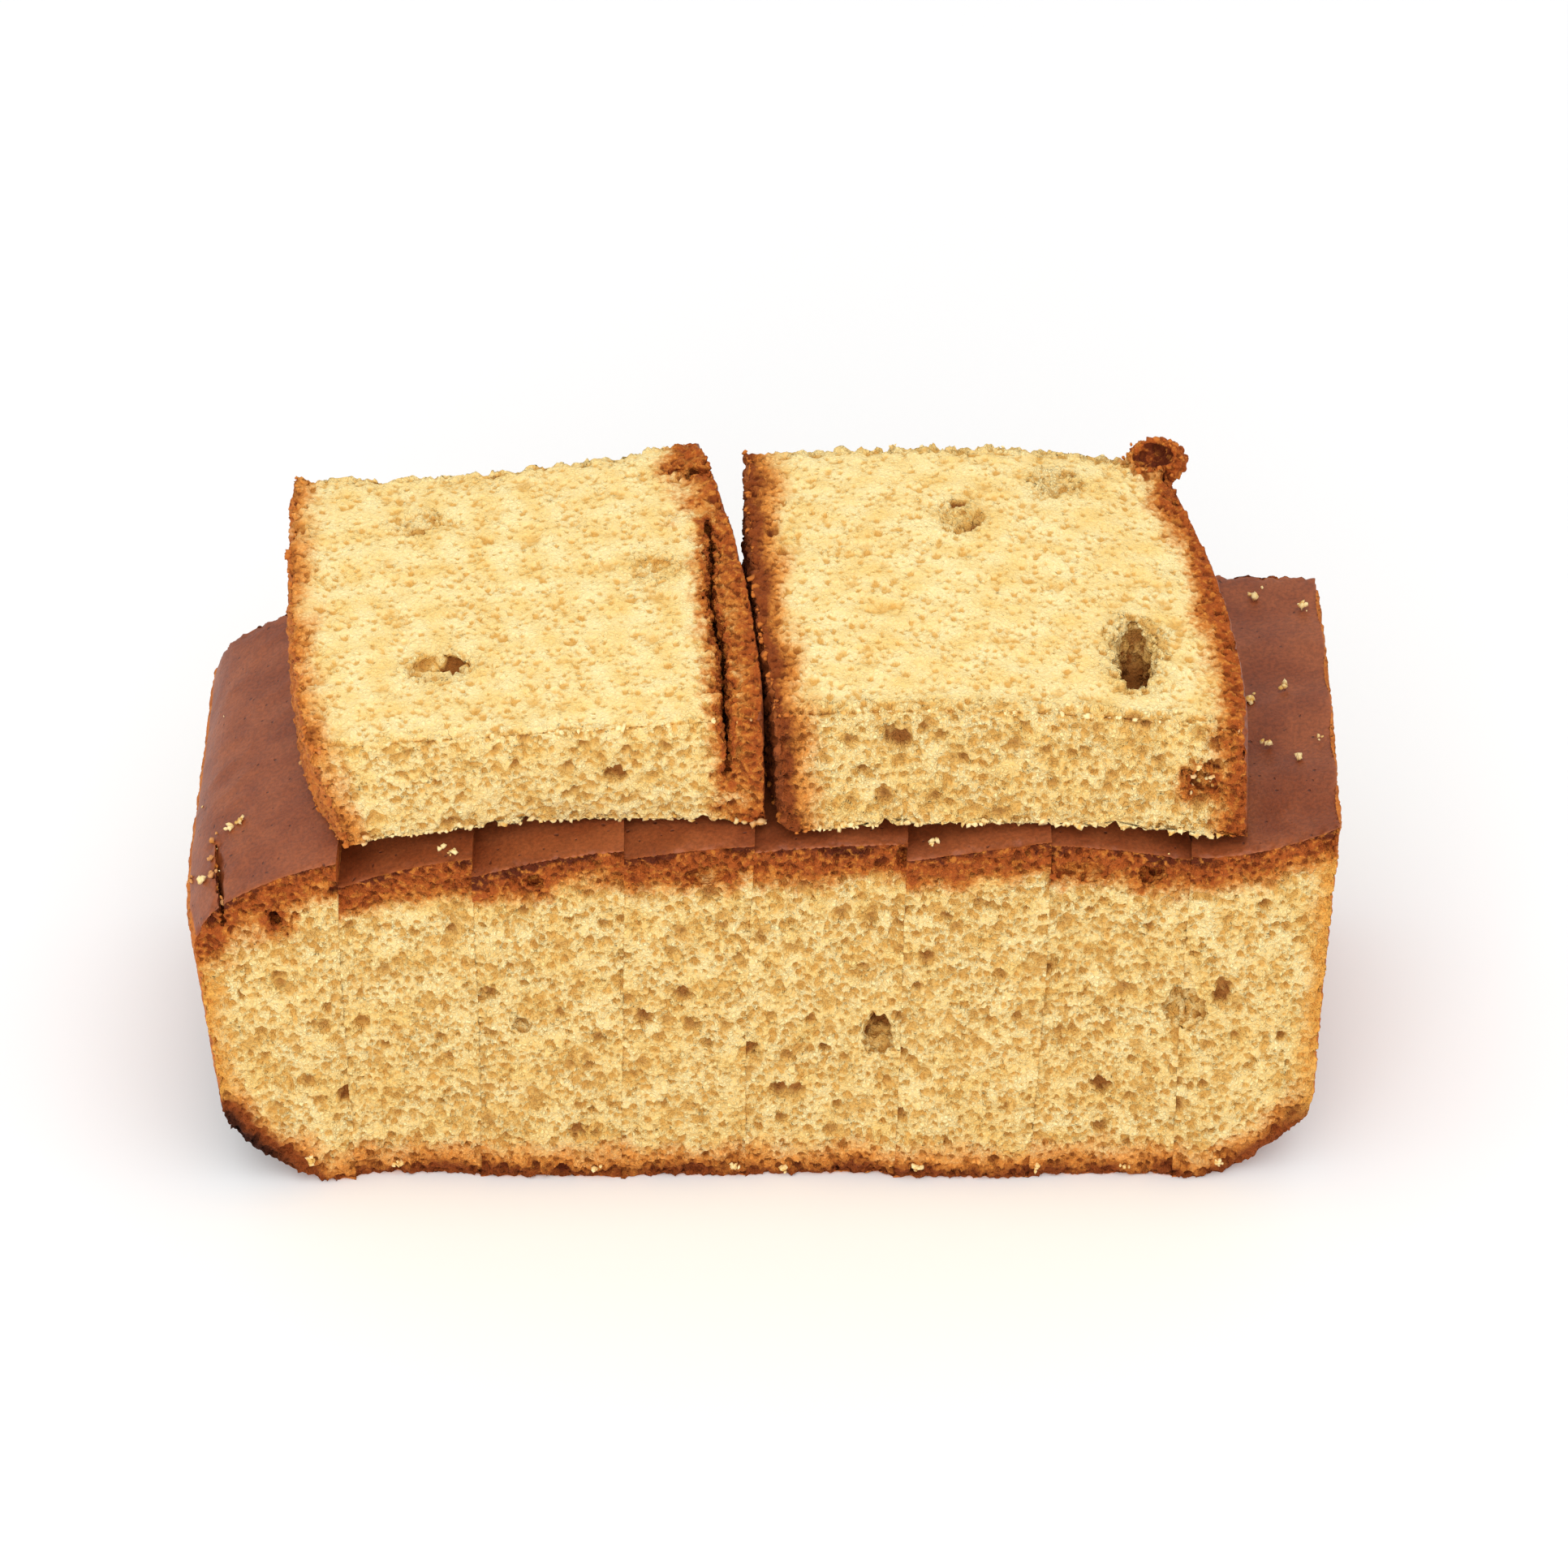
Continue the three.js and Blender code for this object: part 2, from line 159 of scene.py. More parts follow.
def spread_over(tree, source, start, end, low=0.0, high=1.0):
    reach = add_node(tree, "ShaderNodeMapRange", interpolation_type="SMOOTHSTEP")
    names = ("Value", "From Min", "From Max", "To Min", "To Max")
    for name, value in zip(names, (source, start, end, low, high)):
        feed(tree, value, reach.inputs[name])
    return reach.outputs["Result"]


def brightened(tree, colour, amount):
    shade = add_node(tree, "ShaderNodeHueSaturation")
    feed(tree, amount, shade.inputs["Value"])
    feed(tree, colour, shade.inputs["Color"])
    return shade.outputs["Color"]


def raised(tree, height, depth_mm, under=None):
    bump = add_node(tree, "ShaderNodeBump")
    feed(tree, height, bump.inputs["Height"])
    feed(tree, depth_mm * MM, bump.inputs["Distance"])
    feed(tree, 1.0, bump.inputs["Strength"])
    if under is not None:
        feed(tree, under, bump.inputs["Normal"])
    return bump.outputs["Normal"]


def new_finish(name):
    finish = bpy.data.materials.new(name)
    finish.use_nodes = True
    return finish, finish.node_tree, finish.node_tree.nodes["Principled BSDF"]


def set_surface(tree, shader, colour, relief, roughness, specular):
    names = ("Base Color", "Normal", "Roughness", "Specular IOR Level")
    for name, value in zip(names, (colour, relief, roughness, specular)):
        feed(tree, value, shader.inputs[name])


print("node helpers are ready")

# %% [markdown]
# Two patterns are enough for the whole cake. A cloud is soft noise, and its length in millimetres says how
# far apart its patches are. Foam is a Voronoi pattern: it gives the distance to the nearest of many
# scattered centres, as if a block full of bubbles were cut through, or else the distance to the wall
# between two cells, as if the block were made of lumps. A plain Voronoi cell has straight sides, so the
# place that it reads is first pushed about by a cloud of about the same length.

# %% Patterns
STRAY_LENGTH = 0.8
STRAY_SHARE = 0.7
NO_DETAIL = 0.0
SOFT_DETAIL = 2.0
FULL_DETAIL = 3.0
SOFT_ROUGHNESS = 0.5


def own_place(tree):
    return add_node(tree, "ShaderNodeTexCoord").outputs["Object"]


def cloudy(tree, length_mm, detail=SOFT_DETAIL, roughness=SOFT_ROUGHNESS, output="Fac"):
    cloud = add_node(tree, "ShaderNodeTexNoise")
    feed(tree, own_place(tree), cloud.inputs["Vector"])
    feed(tree, PER_MM / length_mm, cloud.inputs["Scale"])
    feed(tree, detail, cloud.inputs["Detail"])
    feed(tree, roughness, cloud.inputs["Roughness"])
    return cloud.outputs[output]


def foam(tree, spacing_mm, feature="F1"):
    drift = cloudy(tree, spacing_mm * STRAY_LENGTH, NO_DETAIL, output="Color")
    furthest = (spacing_mm * MM * STRAY_SHARE,) * 3
    strayed = add_node(tree, "ShaderNodeVectorMath", operation="MULTIPLY_ADD")
    for value, socket in zip((drift, furthest, own_place(tree)), strayed.inputs):
        feed(tree, value, socket)
    cells = add_node(tree, "ShaderNodeTexVoronoi", feature=feature)
    feed(tree, strayed.outputs["Vector"], cells.inputs["Vector"])
    feed(tree, PER_MM / spacing_mm, cells.inputs["Scale"])
    return cells.outputs["Distance"]


print("clouds and foam are ready")

# %% [markdown]
# The crumb is one finish for every cut face. A knife opens the bubbles of the sponge, and light that goes
# into a bubble comes out warmer and dimmer, so the inside of a bubble, the valleys between lumps and the
# crevices get painted shade, gold or brown, never grey. Foam gives the bubbles and the soft lumps that are
# too small to model, and both are stronger where the crumb is open. Deeper pits are in the mesh, which
# carries the depth of each point as a number named pore, the depth of the large holes as hollow, and how far
# a point lies below its neighbours as crevice. The deeper a pit, the darker its painted shade.

# %% Crumb colours and cut bubbles
CRUMB_PALE = screen(255, 236, 176)
CRUMB_WARM = screen(249, 216, 140)
# gold and brown are painted shade for the insides of bubbles, valleys, crevices and pits
PAINTED_SHADE_GOLD = screen(226, 176, 92)
PAINTED_SHADE_BROWN = screen(140, 74, 24)
COARSE_SPACING_MM = 1.15
COARSE_REACH_SHUT = 0.10
COARSE_REACH_OPEN = 0.25
BUBBLE_EDGE = 0.25
BUBBLE_SHADE = 0.58
LUMP_SPACING_MM = 0.62
LUMP_WALL = (0.02, 0.18)
LUMP_DOME = (0.0, 0.36)
VALLEY_SHADE_SHUT = 0.12
VALLEY_SHADE_OPEN = 0.36
HOLLOW_AS_PORE = 0.30
GOLD_DEPTH_MM = (0.08, 0.60)
GOLD_SHADE_AT_MOST = 0.85
BROWN_DEPTH_MM = (0.50, 1.50)
BROWN_SHADE_AT_MOST = 0.85
CREVICE_MM = (0.02, 0.20)
CREVICE_SHADE = 0.65


def in_crevice(tree):
    return spread_over(tree, stored(tree, "crevice"), *CREVICE_MM, 0.0, CREVICE_SHADE)


def pit_depth(tree):
    return reckon(tree, "MULTIPLY_ADD", stored(tree, "hollow"), HOLLOW_AS_PORE, stored(tree, "pore"))


def inside_bubble(tree, distance, reach_shut, reach_open):
    """How far inside a cut bubble each point is, from 0 to 1, by how open the crumb is there."""
    reach = reckon(tree, "MULTIPLY_ADD", stored(tree, "openness"), reach_open, reach_shut)
    inner = reckon(tree, "SUBTRACT", reach, BUBBLE_EDGE)
    return spread_over(tree, distance, inner, reach, 1.0, 0.0)


def crumb_colour(tree, bubble, valley):
    """Pale and warm patches, with painted shade: gold in valleys, bubbles and crevices, brown in deep pits.
    """
    colour = blended(tree, stored(tree, "warmth"), CRUMB_PALE, CRUMB_WARM)
    # painted shade: valleys, cut bubbles and crevices turn gold, deep pits gold and then brown
    tint = reckon(tree, "MULTIPLY_ADD", stored(tree, "openness"), VALLEY_SHADE_OPEN, VALLEY_SHADE_SHUT)
    colour = blended(tree, reckon(tree, "MULTIPLY", valley, tint), colour, PAINTED_SHADE_GOLD)
    colour = blended(tree, reckon(tree, "MULTIPLY", bubble, BUBBLE_SHADE), colour, PAINTED_SHADE_GOLD)
    colour = blended(tree, in_crevice(tree), colour, PAINTED_SHADE_GOLD)
    depth = pit_depth(tree)
    colour = blended(tree, spread_over(tree, depth, *GOLD_DEPTH_MM, 0.0, GOLD_SHADE_AT_MOST), colour, PAINTED_SHADE_GOLD)
    return blended(tree, spread_over(tree, depth, *BROWN_DEPTH_MM, 0.0, BROWN_SHADE_AT_MOST), colour, PAINTED_SHADE_BROWN)


print("bubbles of", COARSE_SPACING_MM, "mm and lumps of", LUMP_SPACING_MM, "mm for the crumb")

# %% [markdown]
# The crust isn't a separate layer. It is the same crumb, browned by its distance to the nearest baked face:
# dark beside the top skin, then orange, then yellow. Painting that by hand would be slow, so each point of
# the mesh carries its distance in millimetres to the top skin, the base and the pan side, and the nodes
# turn the distance into colour. A cloud of single grains is added to the distance first, so that no band
# has a clean edge.

# %% Crust colours
CRUST_DARK = screen(98, 40, 15)
CRUST_BROWN = screen(182, 92, 35)
CRUST_ORANGE = screen(232, 148, 60)
BASE_DARK = screen(146, 72, 28)
BASE_ORANGE = screen(242, 156, 66)
SIDE_GOLD = screen(234, 170, 80)
SCORCH_AND_SHADE_BLACK = screen(58, 27, 17)
BASE_GRAIN_SHIFT_MM = 3.0
BASE_TURNS_ORANGE_MM = (0.2, 3.2)
BASE_ENDS_MM = (1.6, 7.0)
SIDE_GRAIN_SHIFT_MM = 2.0
SIDE_ENDS_MM = (0.2, 4.6)
SKIN_GRAIN_SHIFT_MM = 4.0
CRUST_TURNS_BROWN_MM = (0.0, 1.6)
CRUST_TURNS_ORANGE_MM = (3.2, 6.2)
CRUST_ENDS_MM = (4.6, 8.0)
LUMP_RANGE = (0.0, 0.18)
LUMP_TINT = 0.60
CRUST_GAP_REACH = (0.50, 0.85)
CRUST_GAP_SHADE = 0.42
CRUST_VALLEY_SHADE = 0.26
CRUST_PIT_MM = (0.30, 1.20)
SCORCH_AND_SHADE_BROWNS = (0.02, 0.40)
SCORCH_AND_SHADE_BLACKENS = (0.35, 0.95)


def blackened(tree, colour, scorch_and_shade):
    colour = blended(tree, spread_over(tree, scorch_and_shade, *SCORCH_AND_SHADE_BROWNS), colour, BASE_DARK)
    return blended(tree, spread_over(tree, scorch_and_shade, *SCORCH_AND_SHADE_BLACKENS), colour, SCORCH_AND_SHADE_BLACK)


def crusted(tree, colour, grain, bubble, valley):
    """The crumb's colour with every baked edge browned and painted shade in the pores of its crust."""
    over = reckon(tree, "MULTIPLY_ADD", grain, BASE_GRAIN_SHIFT_MM, stored(tree, "over_base"))
    base = blended(tree, spread_over(tree, over, *BASE_TURNS_ORANGE_MM), BASE_DARK, BASE_ORANGE)
    at_base = spread_over(tree, over, *BASE_ENDS_MM, 1.0, 0.0)
    colour = blended(tree, at_base, colour, base)
    inward = reckon(tree, "MULTIPLY_ADD", grain, SIDE_GRAIN_SHIFT_MM, stored(tree, "from_side"))
    colour = blended(tree, spread_over(tree, inward, *SIDE_ENDS_MM, 1.0, 0.0), colour, SIDE_GOLD)

    under = reckon(tree, "MULTIPLY_ADD", grain, SKIN_GRAIN_SHIFT_MM, stored(tree, "under_skin"))
    crust = blended(tree, spread_over(tree, under, *CRUST_TURNS_BROWN_MM), CRUST_DARK, CRUST_BROWN)
    crust = blended(tree, spread_over(tree, under, *CRUST_TURNS_ORANGE_MM), crust, CRUST_ORANGE)
    crust = blended(tree, spread_over(tree, grain, *LUMP_RANGE, 0.0, LUMP_TINT), crust, CRUST_ORANGE)
    at_skin = spread_over(tree, under, *CRUST_ENDS_MM, 1.0, 0.0)
    colour = blended(tree, at_skin, colour, crust)

    # painted shade: the pores, valleys, crevices and pits of the crust turn dark brown
    baked = reckon(tree, "MAXIMUM", at_base, at_skin)
    pore = spread_over(tree, bubble, *CRUST_GAP_REACH, 0.0, CRUST_GAP_SHADE)
    pore = reckon(tree, "MAXIMUM", pore, reckon(tree, "MULTIPLY", valley, CRUST_VALLEY_SHADE))
    pore = reckon(tree, "MAXIMUM", pore, in_crevice(tree))
    pore = reckon(tree, "MAXIMUM", pore, spread_over(tree, pit_depth(tree), *CRUST_PIT_MM))
    colour = blended(tree, reckon(tree, "MULTIPLY", baked, pore), colour, CRUST_DARK)
    # scorch, and painted shade on the left side of the right lying slice
    return blackened(tree, colour, stored(tree, "scorch_and_shade"))


print("crust fades out", CRUST_ENDS_MM, "mm under the skin")

# %% [markdown]
# The last parts of the crumb finish are its fine grain and how it takes light. Light in the valleys of the
# grain comes off warm walls, so they are multiplied by a warm colour, which is painted warm shade: shade
# alone would look olive.
# Sponge is dull. It lets a little light through, which subsurface scattering would show, but between slices
# that touch, that light is lost and leaves grey lines. The painted warm shade in the crevices does the same
# work without them.

# %% Crumb finish
CRUMB_ROUGHNESS = 0.92
CRUMB_SPECULAR = 0.18
GRAIN_PATCH_MM = 1.0
GRAIN_MIDDLE = 0.5
SPECK_MM = 0.5
SPECK_RANGE = (0.3, 0.7)
# a warm colour that multiplies the low places of the grain, as painted shade
SPECK_SHADE_WARM = screen(240, 212, 150)
SPECK_SHADE_STRENGTH = 0.28
GRAIN_HEIGHT_MM = 0.08
LUMP_RISE_SHUT = 0.45
LUMP_RISE_OPEN = 0.55
LUMP_HEIGHT_MM = 0.20


def crumb_finish():
    finish, tree, shader = new_finish("sponge_crumb")
    coarse = foam(tree, COARSE_SPACING_MM)
    bubble = inside_bubble(tree, coarse, COARSE_REACH_SHUT, COARSE_REACH_OPEN)
    wall = foam(tree, LUMP_SPACING_MM, "DISTANCE_TO_EDGE")
    valley = spread_over(tree, wall, *LUMP_WALL, 1.0, 0.0)
    rise = reckon(tree, "MULTIPLY_ADD", stored(tree, "openness"), LUMP_RISE_OPEN, LUMP_RISE_SHUT)
    dome = reckon(tree, "MULTIPLY", spread_over(tree, wall, *LUMP_DOME), rise)
    grain = reckon(tree, "SUBTRACT", cloudy(tree, GRAIN_PATCH_MM), GRAIN_MIDDLE)
    colour = crusted(tree, crumb_colour(tree, bubble, valley), grain, coarse, valley)
    speck = cloudy(tree, SPECK_MM)
    # painted warm shade in the low places of the fine grain
    low = spread_over(tree, speck, *SPECK_RANGE, SPECK_SHADE_STRENGTH, 0.0)
    colour = blended(tree, low, colour, SPECK_SHADE_WARM, "MULTIPLY")
    relief = raised(tree, speck, GRAIN_HEIGHT_MM)
    relief = raised(tree, dome, LUMP_HEIGHT_MM, relief)
    set_surface(tree, shader, colour, relief, CRUMB_ROUGHNESS, CRUMB_SPECULAR)
    return finish


crumb = crumb_finish()
print("crumb finish has", len(crumb.node_tree.nodes), "nodes")

# %% [markdown]
# The top of the bar is a thin brown skin, almost smooth, with a soft sheen, a grain like fine leather and a
# few pinholes where small bubbles broke. Where a knife cut it, the skin ends in a lighter rim. It needs no
# crumb, so it is its own finish: a brown that varies in patches, sparse dots of painted shade from foam for
# the pinholes, and a little height from both.

# %% Top skin finish
SKIN_BROWN = screen(132, 64, 30)
SKIN_LIGHT = screen(150, 79, 41)
# the dark of the pinholes is painted shade
SKIN_PINHOLE_SHADE = screen(70, 28, 14)
SKIN_RIM = screen(186, 100, 46)
SKIN_ROUGHNESS = 0.50
SKIN_SPECULAR = 0.4
SKIN_PATCH_MM = 7.0
SKIN_PATCH_RANGE = (0.35, 0.65)
LEATHER_MM = 0.55
LEATHER_ROUGHNESS = 0.6
LEATHER_RANGE = (0.3, 0.7)
LEATHER_SHADE = (0.80, 1.20)
LEATHER_HEIGHT_MM = 0.08
PINHOLE_SPACING_MM = 2.1
PINHOLE_REACH = (0.07, 0.14)
PINHOLE_SHADE = 0.75
PINHOLE_HEIGHT_MM = 0.10
RIM_REACH_MM = (0.1, 1.1)
RIM_SHIFT_MM = 0.8
RIM_TINT = 0.75


def skin_finish():
    finish, tree, shader = new_finish("top_skin")
    patch = spread_over(tree, cloudy(tree, SKIN_PATCH_MM, FULL_DETAIL), *SKIN_PATCH_RANGE)
    colour = blended(tree, patch, SKIN_BROWN, SKIN_LIGHT)
    leather = cloudy(tree, LEATHER_MM, FULL_DETAIL, LEATHER_ROUGHNESS)
    colour = brightened(tree, colour, spread_over(tree, leather, *LEATHER_RANGE, *LEATHER_SHADE))
    from_cut = reckon(tree, "MULTIPLY_ADD", leather, RIM_SHIFT_MM, stored(tree, "from_cut"))
    colour = blended(tree, spread_over(tree, from_cut, *RIM_REACH_MM, RIM_TINT, 0.0), colour, SKIN_RIM)
    pinhole = spread_over(tree, foam(tree, PINHOLE_SPACING_MM), *PINHOLE_REACH, 1.0, 0.0)
    # painted shade in the pinholes
    colour = blended(tree, reckon(tree, "MULTIPLY", pinhole, PINHOLE_SHADE), colour, SKIN_PINHOLE_SHADE)
    relief = raised(tree, leather, LEATHER_HEIGHT_MM)
    relief = raised(tree, reckon(tree, "SUBTRACT", 1.0, pinhole), PINHOLE_HEIGHT_MM, relief)
    set_surface(tree, shader, colour, relief, SKIN_ROUGHNESS, SKIN_SPECULAR)
    return finish


top_skin = skin_finish()
print("skin finish has", len(top_skin.node_tree.nodes), "nodes")

# %% [markdown]
# The base and the two ends touched the pan. Their crust is rougher and more orange than the top skin, and
# it was scorched where one lower corner sat closest to the heat.

# %% Pan crust finish
PAN_ORANGE = screen(204, 116, 48)
PAN_BROWN = screen(176, 94, 40)
PAN_GOLD = screen(228, 152, 66)
PAN_ROUGHNESS = 0.85
PAN_SPECULAR = 0.25
PAN_PATCH_MM = 5.0
PAN_PATCH_RANGE = (0.35, 0.65)
PAN_GRAIN_MM = 0.8
PAN_GRAIN_ROUGHNESS = 0.65
PAN_GRAIN_RANGE = (0.42, 0.70)
PAN_GRAIN_TINT = 0.5
PAN_PORE_SPACING_MM = 1.0
PAN_PORE_REACH = (0.12, 0.34)
PAN_PORE_SHADE = 0.45
PAN_SCORCH_AND_SHADE_UNEVEN = (1.6, 0.2)
PAN_GRAIN_HEIGHT_MM = 0.30
PAN_PORE_HEIGHT_MM = 0.20


def pan_finish():
    finish, tree, shader = new_finish("pan_crust")
    patch = spread_over(tree, cloudy(tree, PAN_PATCH_MM, FULL_DETAIL), *PAN_PATCH_RANGE)
    colour = blended(tree, patch, PAN_BROWN, PAN_ORANGE)
    grain = cloudy(tree, PAN_GRAIN_MM, FULL_DETAIL, PAN_GRAIN_ROUGHNESS)
    colour = blended(tree, spread_over(tree, grain, *PAN_GRAIN_RANGE, 0.0, PAN_GRAIN_TINT), colour, PAN_GOLD)
    pinhole = spread_over(tree, foam(tree, PAN_PORE_SPACING_MM), *PAN_PORE_REACH, 1.0, 0.0)
    # painted shade in the pores of the pan crust
    colour = blended(tree, reckon(tree, "MULTIPLY", pinhole, PAN_PORE_SHADE), colour, CRUST_DARK)
    # this number carries scorch and also painted shade on the left side of the right lying slice
    uneven = reckon(tree, "MULTIPLY_ADD", grain, *PAN_SCORCH_AND_SHADE_UNEVEN)
    colour = blackened(tree, colour, reckon(tree, "MULTIPLY", stored(tree, "scorch_and_shade"), uneven))
    relief = raised(tree, grain, PAN_GRAIN_HEIGHT_MM)
    relief = raised(tree, reckon(tree, "SUBTRACT", 1.0, pinhole), PAN_PORE_HEIGHT_MM, relief)
    set_surface(tree, shader, colour, relief, PAN_ROUGHNESS, PAN_SPECULAR)
    return finish


pan_crust = pan_finish()
print("pan crust finish has", len(pan_crust.node_tree.nodes), "nodes")

# %% [markdown]
# Each slice starts as a copy of its solid. The solid's triangles are loose, so their doubles are merged
# first. Then every face is named for what it is on the cake. A face that points forward is a knife cut
# through open crumb; one that points up is the skin of a standing slice, but a fine cut on a lying one.
# Holes and cracks have faces that point every way, so a tight hull round the slice tells the outer faces
# from those inside a hole. One lying slice ends in a curled scrap of crust, which is known by its place.

# %% Name the faces of a slice
OPEN_CRUMB, FINE_CRUMB, SKIN, BASE, PAN_SIDE, CURL, HIDDEN = range(7)
LOAF_SLICE = "loaf_slice_"
FIRST_SLICE = LOAF_SLICE + "1"
LAST_SLICE = LOAF_SLICE + "8"
LEFT_LYING = "top_slice_left"
RIGHT_LYING = "top_slice_right"
LYING_SLICES = (LEFT_LYING, RIGHT_LYING)
FACES_THAT_WAY = 0.6
LEANS_THAT_WAY = 0.35
OUTER_WITHIN = 1.6 * MM
CURL_PLACE_MM = np.array((57.2, 28.1, 84.6))
CURL_RADII_MM = np.array((5.0, 3.4, 3.6))
CURL_REACH = 1.12
MERGE_WITHIN = 0.002 * MM


def copied_solid(name):
    shell = bmesh.new()
    shell.from_mesh(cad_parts[name].data)
    bmesh.ops.remove_doubles(shell, verts=shell.verts, dist=MERGE_WITHIN)
    shell.normal_update()
    return shell


def in_the_curl(place):
    return np.linalg.norm((np.array(place) * PER_MM - CURL_PLACE_MM) / CURL_RADII_MM) < CURL_REACH


def hull_round(shell):
    """A search tree of the tight hull round a slice, without the curled scrap that sticks out of it."""
    hull = bmesh.new()
    for vert in shell.verts:
        if not in_the_curl(vert.co):
            hull.verts.new(vert.co)
    bmesh.ops.convex_hull(hull, input=hull.verts)
    bmesh.ops.recalc_face_normals(hull, faces=hull.faces)
    tree = BVHTree.FromBMesh(hull)
    hull.free()
    return tree


def kind_of_face(face, hull, name):
    normal = face.normal
    centre = face.calc_center_median()
    _, outward, _, gap = hull.find_nearest(centre)
    outer = gap < OUTER_WITHIN and normal.dot(outward) > LEANS_THAT_WAY
    if name == RIGHT_LYING and in_the_curl(centre):
        return CURL
    if name in LYING_SLICES:
        if normal.z > FACES_THAT_WAY:
            return FINE_CRUMB
        if normal.z < -FACES_THAT_WAY:
            return HIDDEN
        if outer and abs(outward.x) > FACES_THAT_WAY:
            return SKIN if normal.x > 0 else BASE
        return OPEN_CRUMB
    if not outer or abs(outward.y) > FACES_THAT_WAY:
        return OPEN_CRUMB
    if abs(outward.z) > LEANS_THAT_WAY:
        return SKIN if normal.z > 0 else BASE
    pan_end = name == (LAST_SLICE if normal.x > 0 else FIRST_SLICE)
    return PAN_SIDE if pan_end else HIDDEN


def name_faces(shell, hull, name):
    layer = shell.faces.layers.int.new("kind")
    for face in shell.faces:
        face[layer] = kind_of_face(face, hull, name)
    return layer


trial = copied_solid(RIGHT_LYING)
trial_layer = name_faces(trial, hull_round(trial), RIGHT_LYING)
print("faces of the right lying slice by kind:", np.bincount([face[trial_layer] for face in trial.faces]))
trial.free()

# %% [markdown]
# Later steps ask how far a point lies from the skin, the base or a crack. A search tree of only those
# faces answers quickly. The walls of a crack are known by their direction, and by how close under the
# skin they lie.

# %% Search trees of some faces
CRACK_UNDER_SKIN = 8.0 * MM


def tree_of(faces):
    """A search tree of only these faces, or None where there are none."""
    corners = []
    triangles = []
    for face in faces:
        triangles.append(range(len(corners), len(corners) + len(face.verts)))
        corners.extend(vert.co.copy() for vert in face.verts)
    return BVHTree.FromPolygons(corners, triangles) if corners else None


def faces_of_kind(shell, layer, *kinds):
    return tree_of([face for face in shell.faces if face[layer] in kinds])


def crack_walls(shell, layer, skin):
    """A search tree of the upright walls of cracks and holes that lie close under the skin."""
    found = []
    for face in shell.faces:
        if face[layer] == OPEN_CRUMB and abs(face.normal.x) > FACES_THAT_WAY:
            if skin.find_nearest(face.calc_center_median())[3] < CRACK_UNDER_SKIN:
                found.append(face)
    return tree_of(found)


print("the walls of a crack lie within", CRACK_UNDER_SKIN * PER_MM, "mm of the skin")

# %% [markdown]
# A few pits and crumbs are so plain on the cake that they are put where they are seen. A place in the
# picture is a line of sight from the camera, so a ray is cast along it, and the first slice that it meets
# carries the pit or crumb. It then sits on that slice from every side.

# %% Where a line of sight meets the cake
PICTURE_SIZE = 1932
solid_trees = {}
for slice_name in sorted(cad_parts):
    slice_copy = copied_solid(slice_name)
    solid_trees[slice_name] = BVHTree.FromBMesh(slice_copy)
    slice_copy.free()


def seen_at(across, down):
    """The slice, the place and the face's direction at a point of the picture, or three times None."""
    share = SENSOR_MM / LENS_MM / PICTURE_SIZE
    sight = Vector(((across - PICTURE_SIZE / 2) * share, (PICTURE_SIZE / 2 - down) * share, -1.0))
    sight.rotate(camera.rotation_euler)
    nearest = (None, None, None)
    least = math.inf
    for slice_name, tree in solid_trees.items():
        place, normal, _, distance = tree.ray_cast(CAMERA_PLACE, sight.normalized())
        if place is not None and distance < least:
            least = distance
            nearest = (slice_name, place, normal)
    return nearest


print("the middle of the picture shows", seen_at(PICTURE_SIZE / 2, PICTURE_SIZE / 2)[0])

# %% [markdown]
# Pores a millimetre wide need points less than half of one apart, but only where they show. Each face asks
# for its longest edge to be cut in half, again and again, until it is as short as its kind of face needs.
# Cutting only the longest edge keeps the triangles well shaped and few. Faces pressed against a neighbour
# stay large.

# %% Cut the shown faces finer
ROUGHER = 1.0
LYING_ROUGHER = 1.2
FIRST_ROUGHER = 2.6
LONGEST_EDGE_MM = {
    OPEN_CRUMB: 0.40 * ROUGHER,
    FINE_CRUMB: 0.47 * ROUGHER,
    SKIN: 0.90 * ROUGHER,
    BASE: 0.70 * ROUGHER,
    PAN_SIDE: 0.70 * ROUGHER,
    CURL: 0.38 * ROUGHER,
    HIDDEN: 4.0,
}
MOST_ROUNDS = 16


def long_edges(shell, layer, rougher):
    found = set()
    for face in shell.faces:
        longest = max(face.edges, key=bmesh.types.BMEdge.calc_length)
        if longest.calc_length() > LONGEST_EDGE_MM[face[layer]] * rougher * MM:
            found.add(longest)
    return sorted(found, key=lambda edge: edge.index)


def cut_finer(shell, layer, rougher):
    for _ in range(MOST_ROUNDS):
        shell.edges.index_update()
        edges = long_edges(shell, layer, rougher)
        if not edges:
            break
        bmesh.ops.subdivide_edges(shell, edges=edges, cuts=1, use_grid_fill=True)
        larger = [face for face in shell.faces if len(face.verts) > TRIANGLE]
        bmesh.ops.triangulate(shell, faces=larger, quad_method="SHORT_EDGE", ngon_method="BEAUTY")


def keep_sharp(shell, layer):
    """Keep the light on two kinds of face apart where one of them is skin or hidden."""
    for edge in shell.edges:
        kinds = {face[layer] for face in edge.link_faces}
        if len(kinds) > 1 and kinds & {SKIN, HIDDEN}:
            edge.smooth = False


print("longest edge on open crumb:", LONGEST_EDGE_MM[OPEN_CRUMB], "mm")

# %% [markdown]
# A knife never leaves a perfect edge on sponge, so the points of the crumb are smoothed a few times, which
# rounds edges and lets flat faces be. The long edges of the lying slices are rounder still, and the skin
# bends down softly at both ends, so these are smoothed first, while the mesh is still coarse and each round
# reaches further. Points on a hidden face stay, or the seams between slices would open.

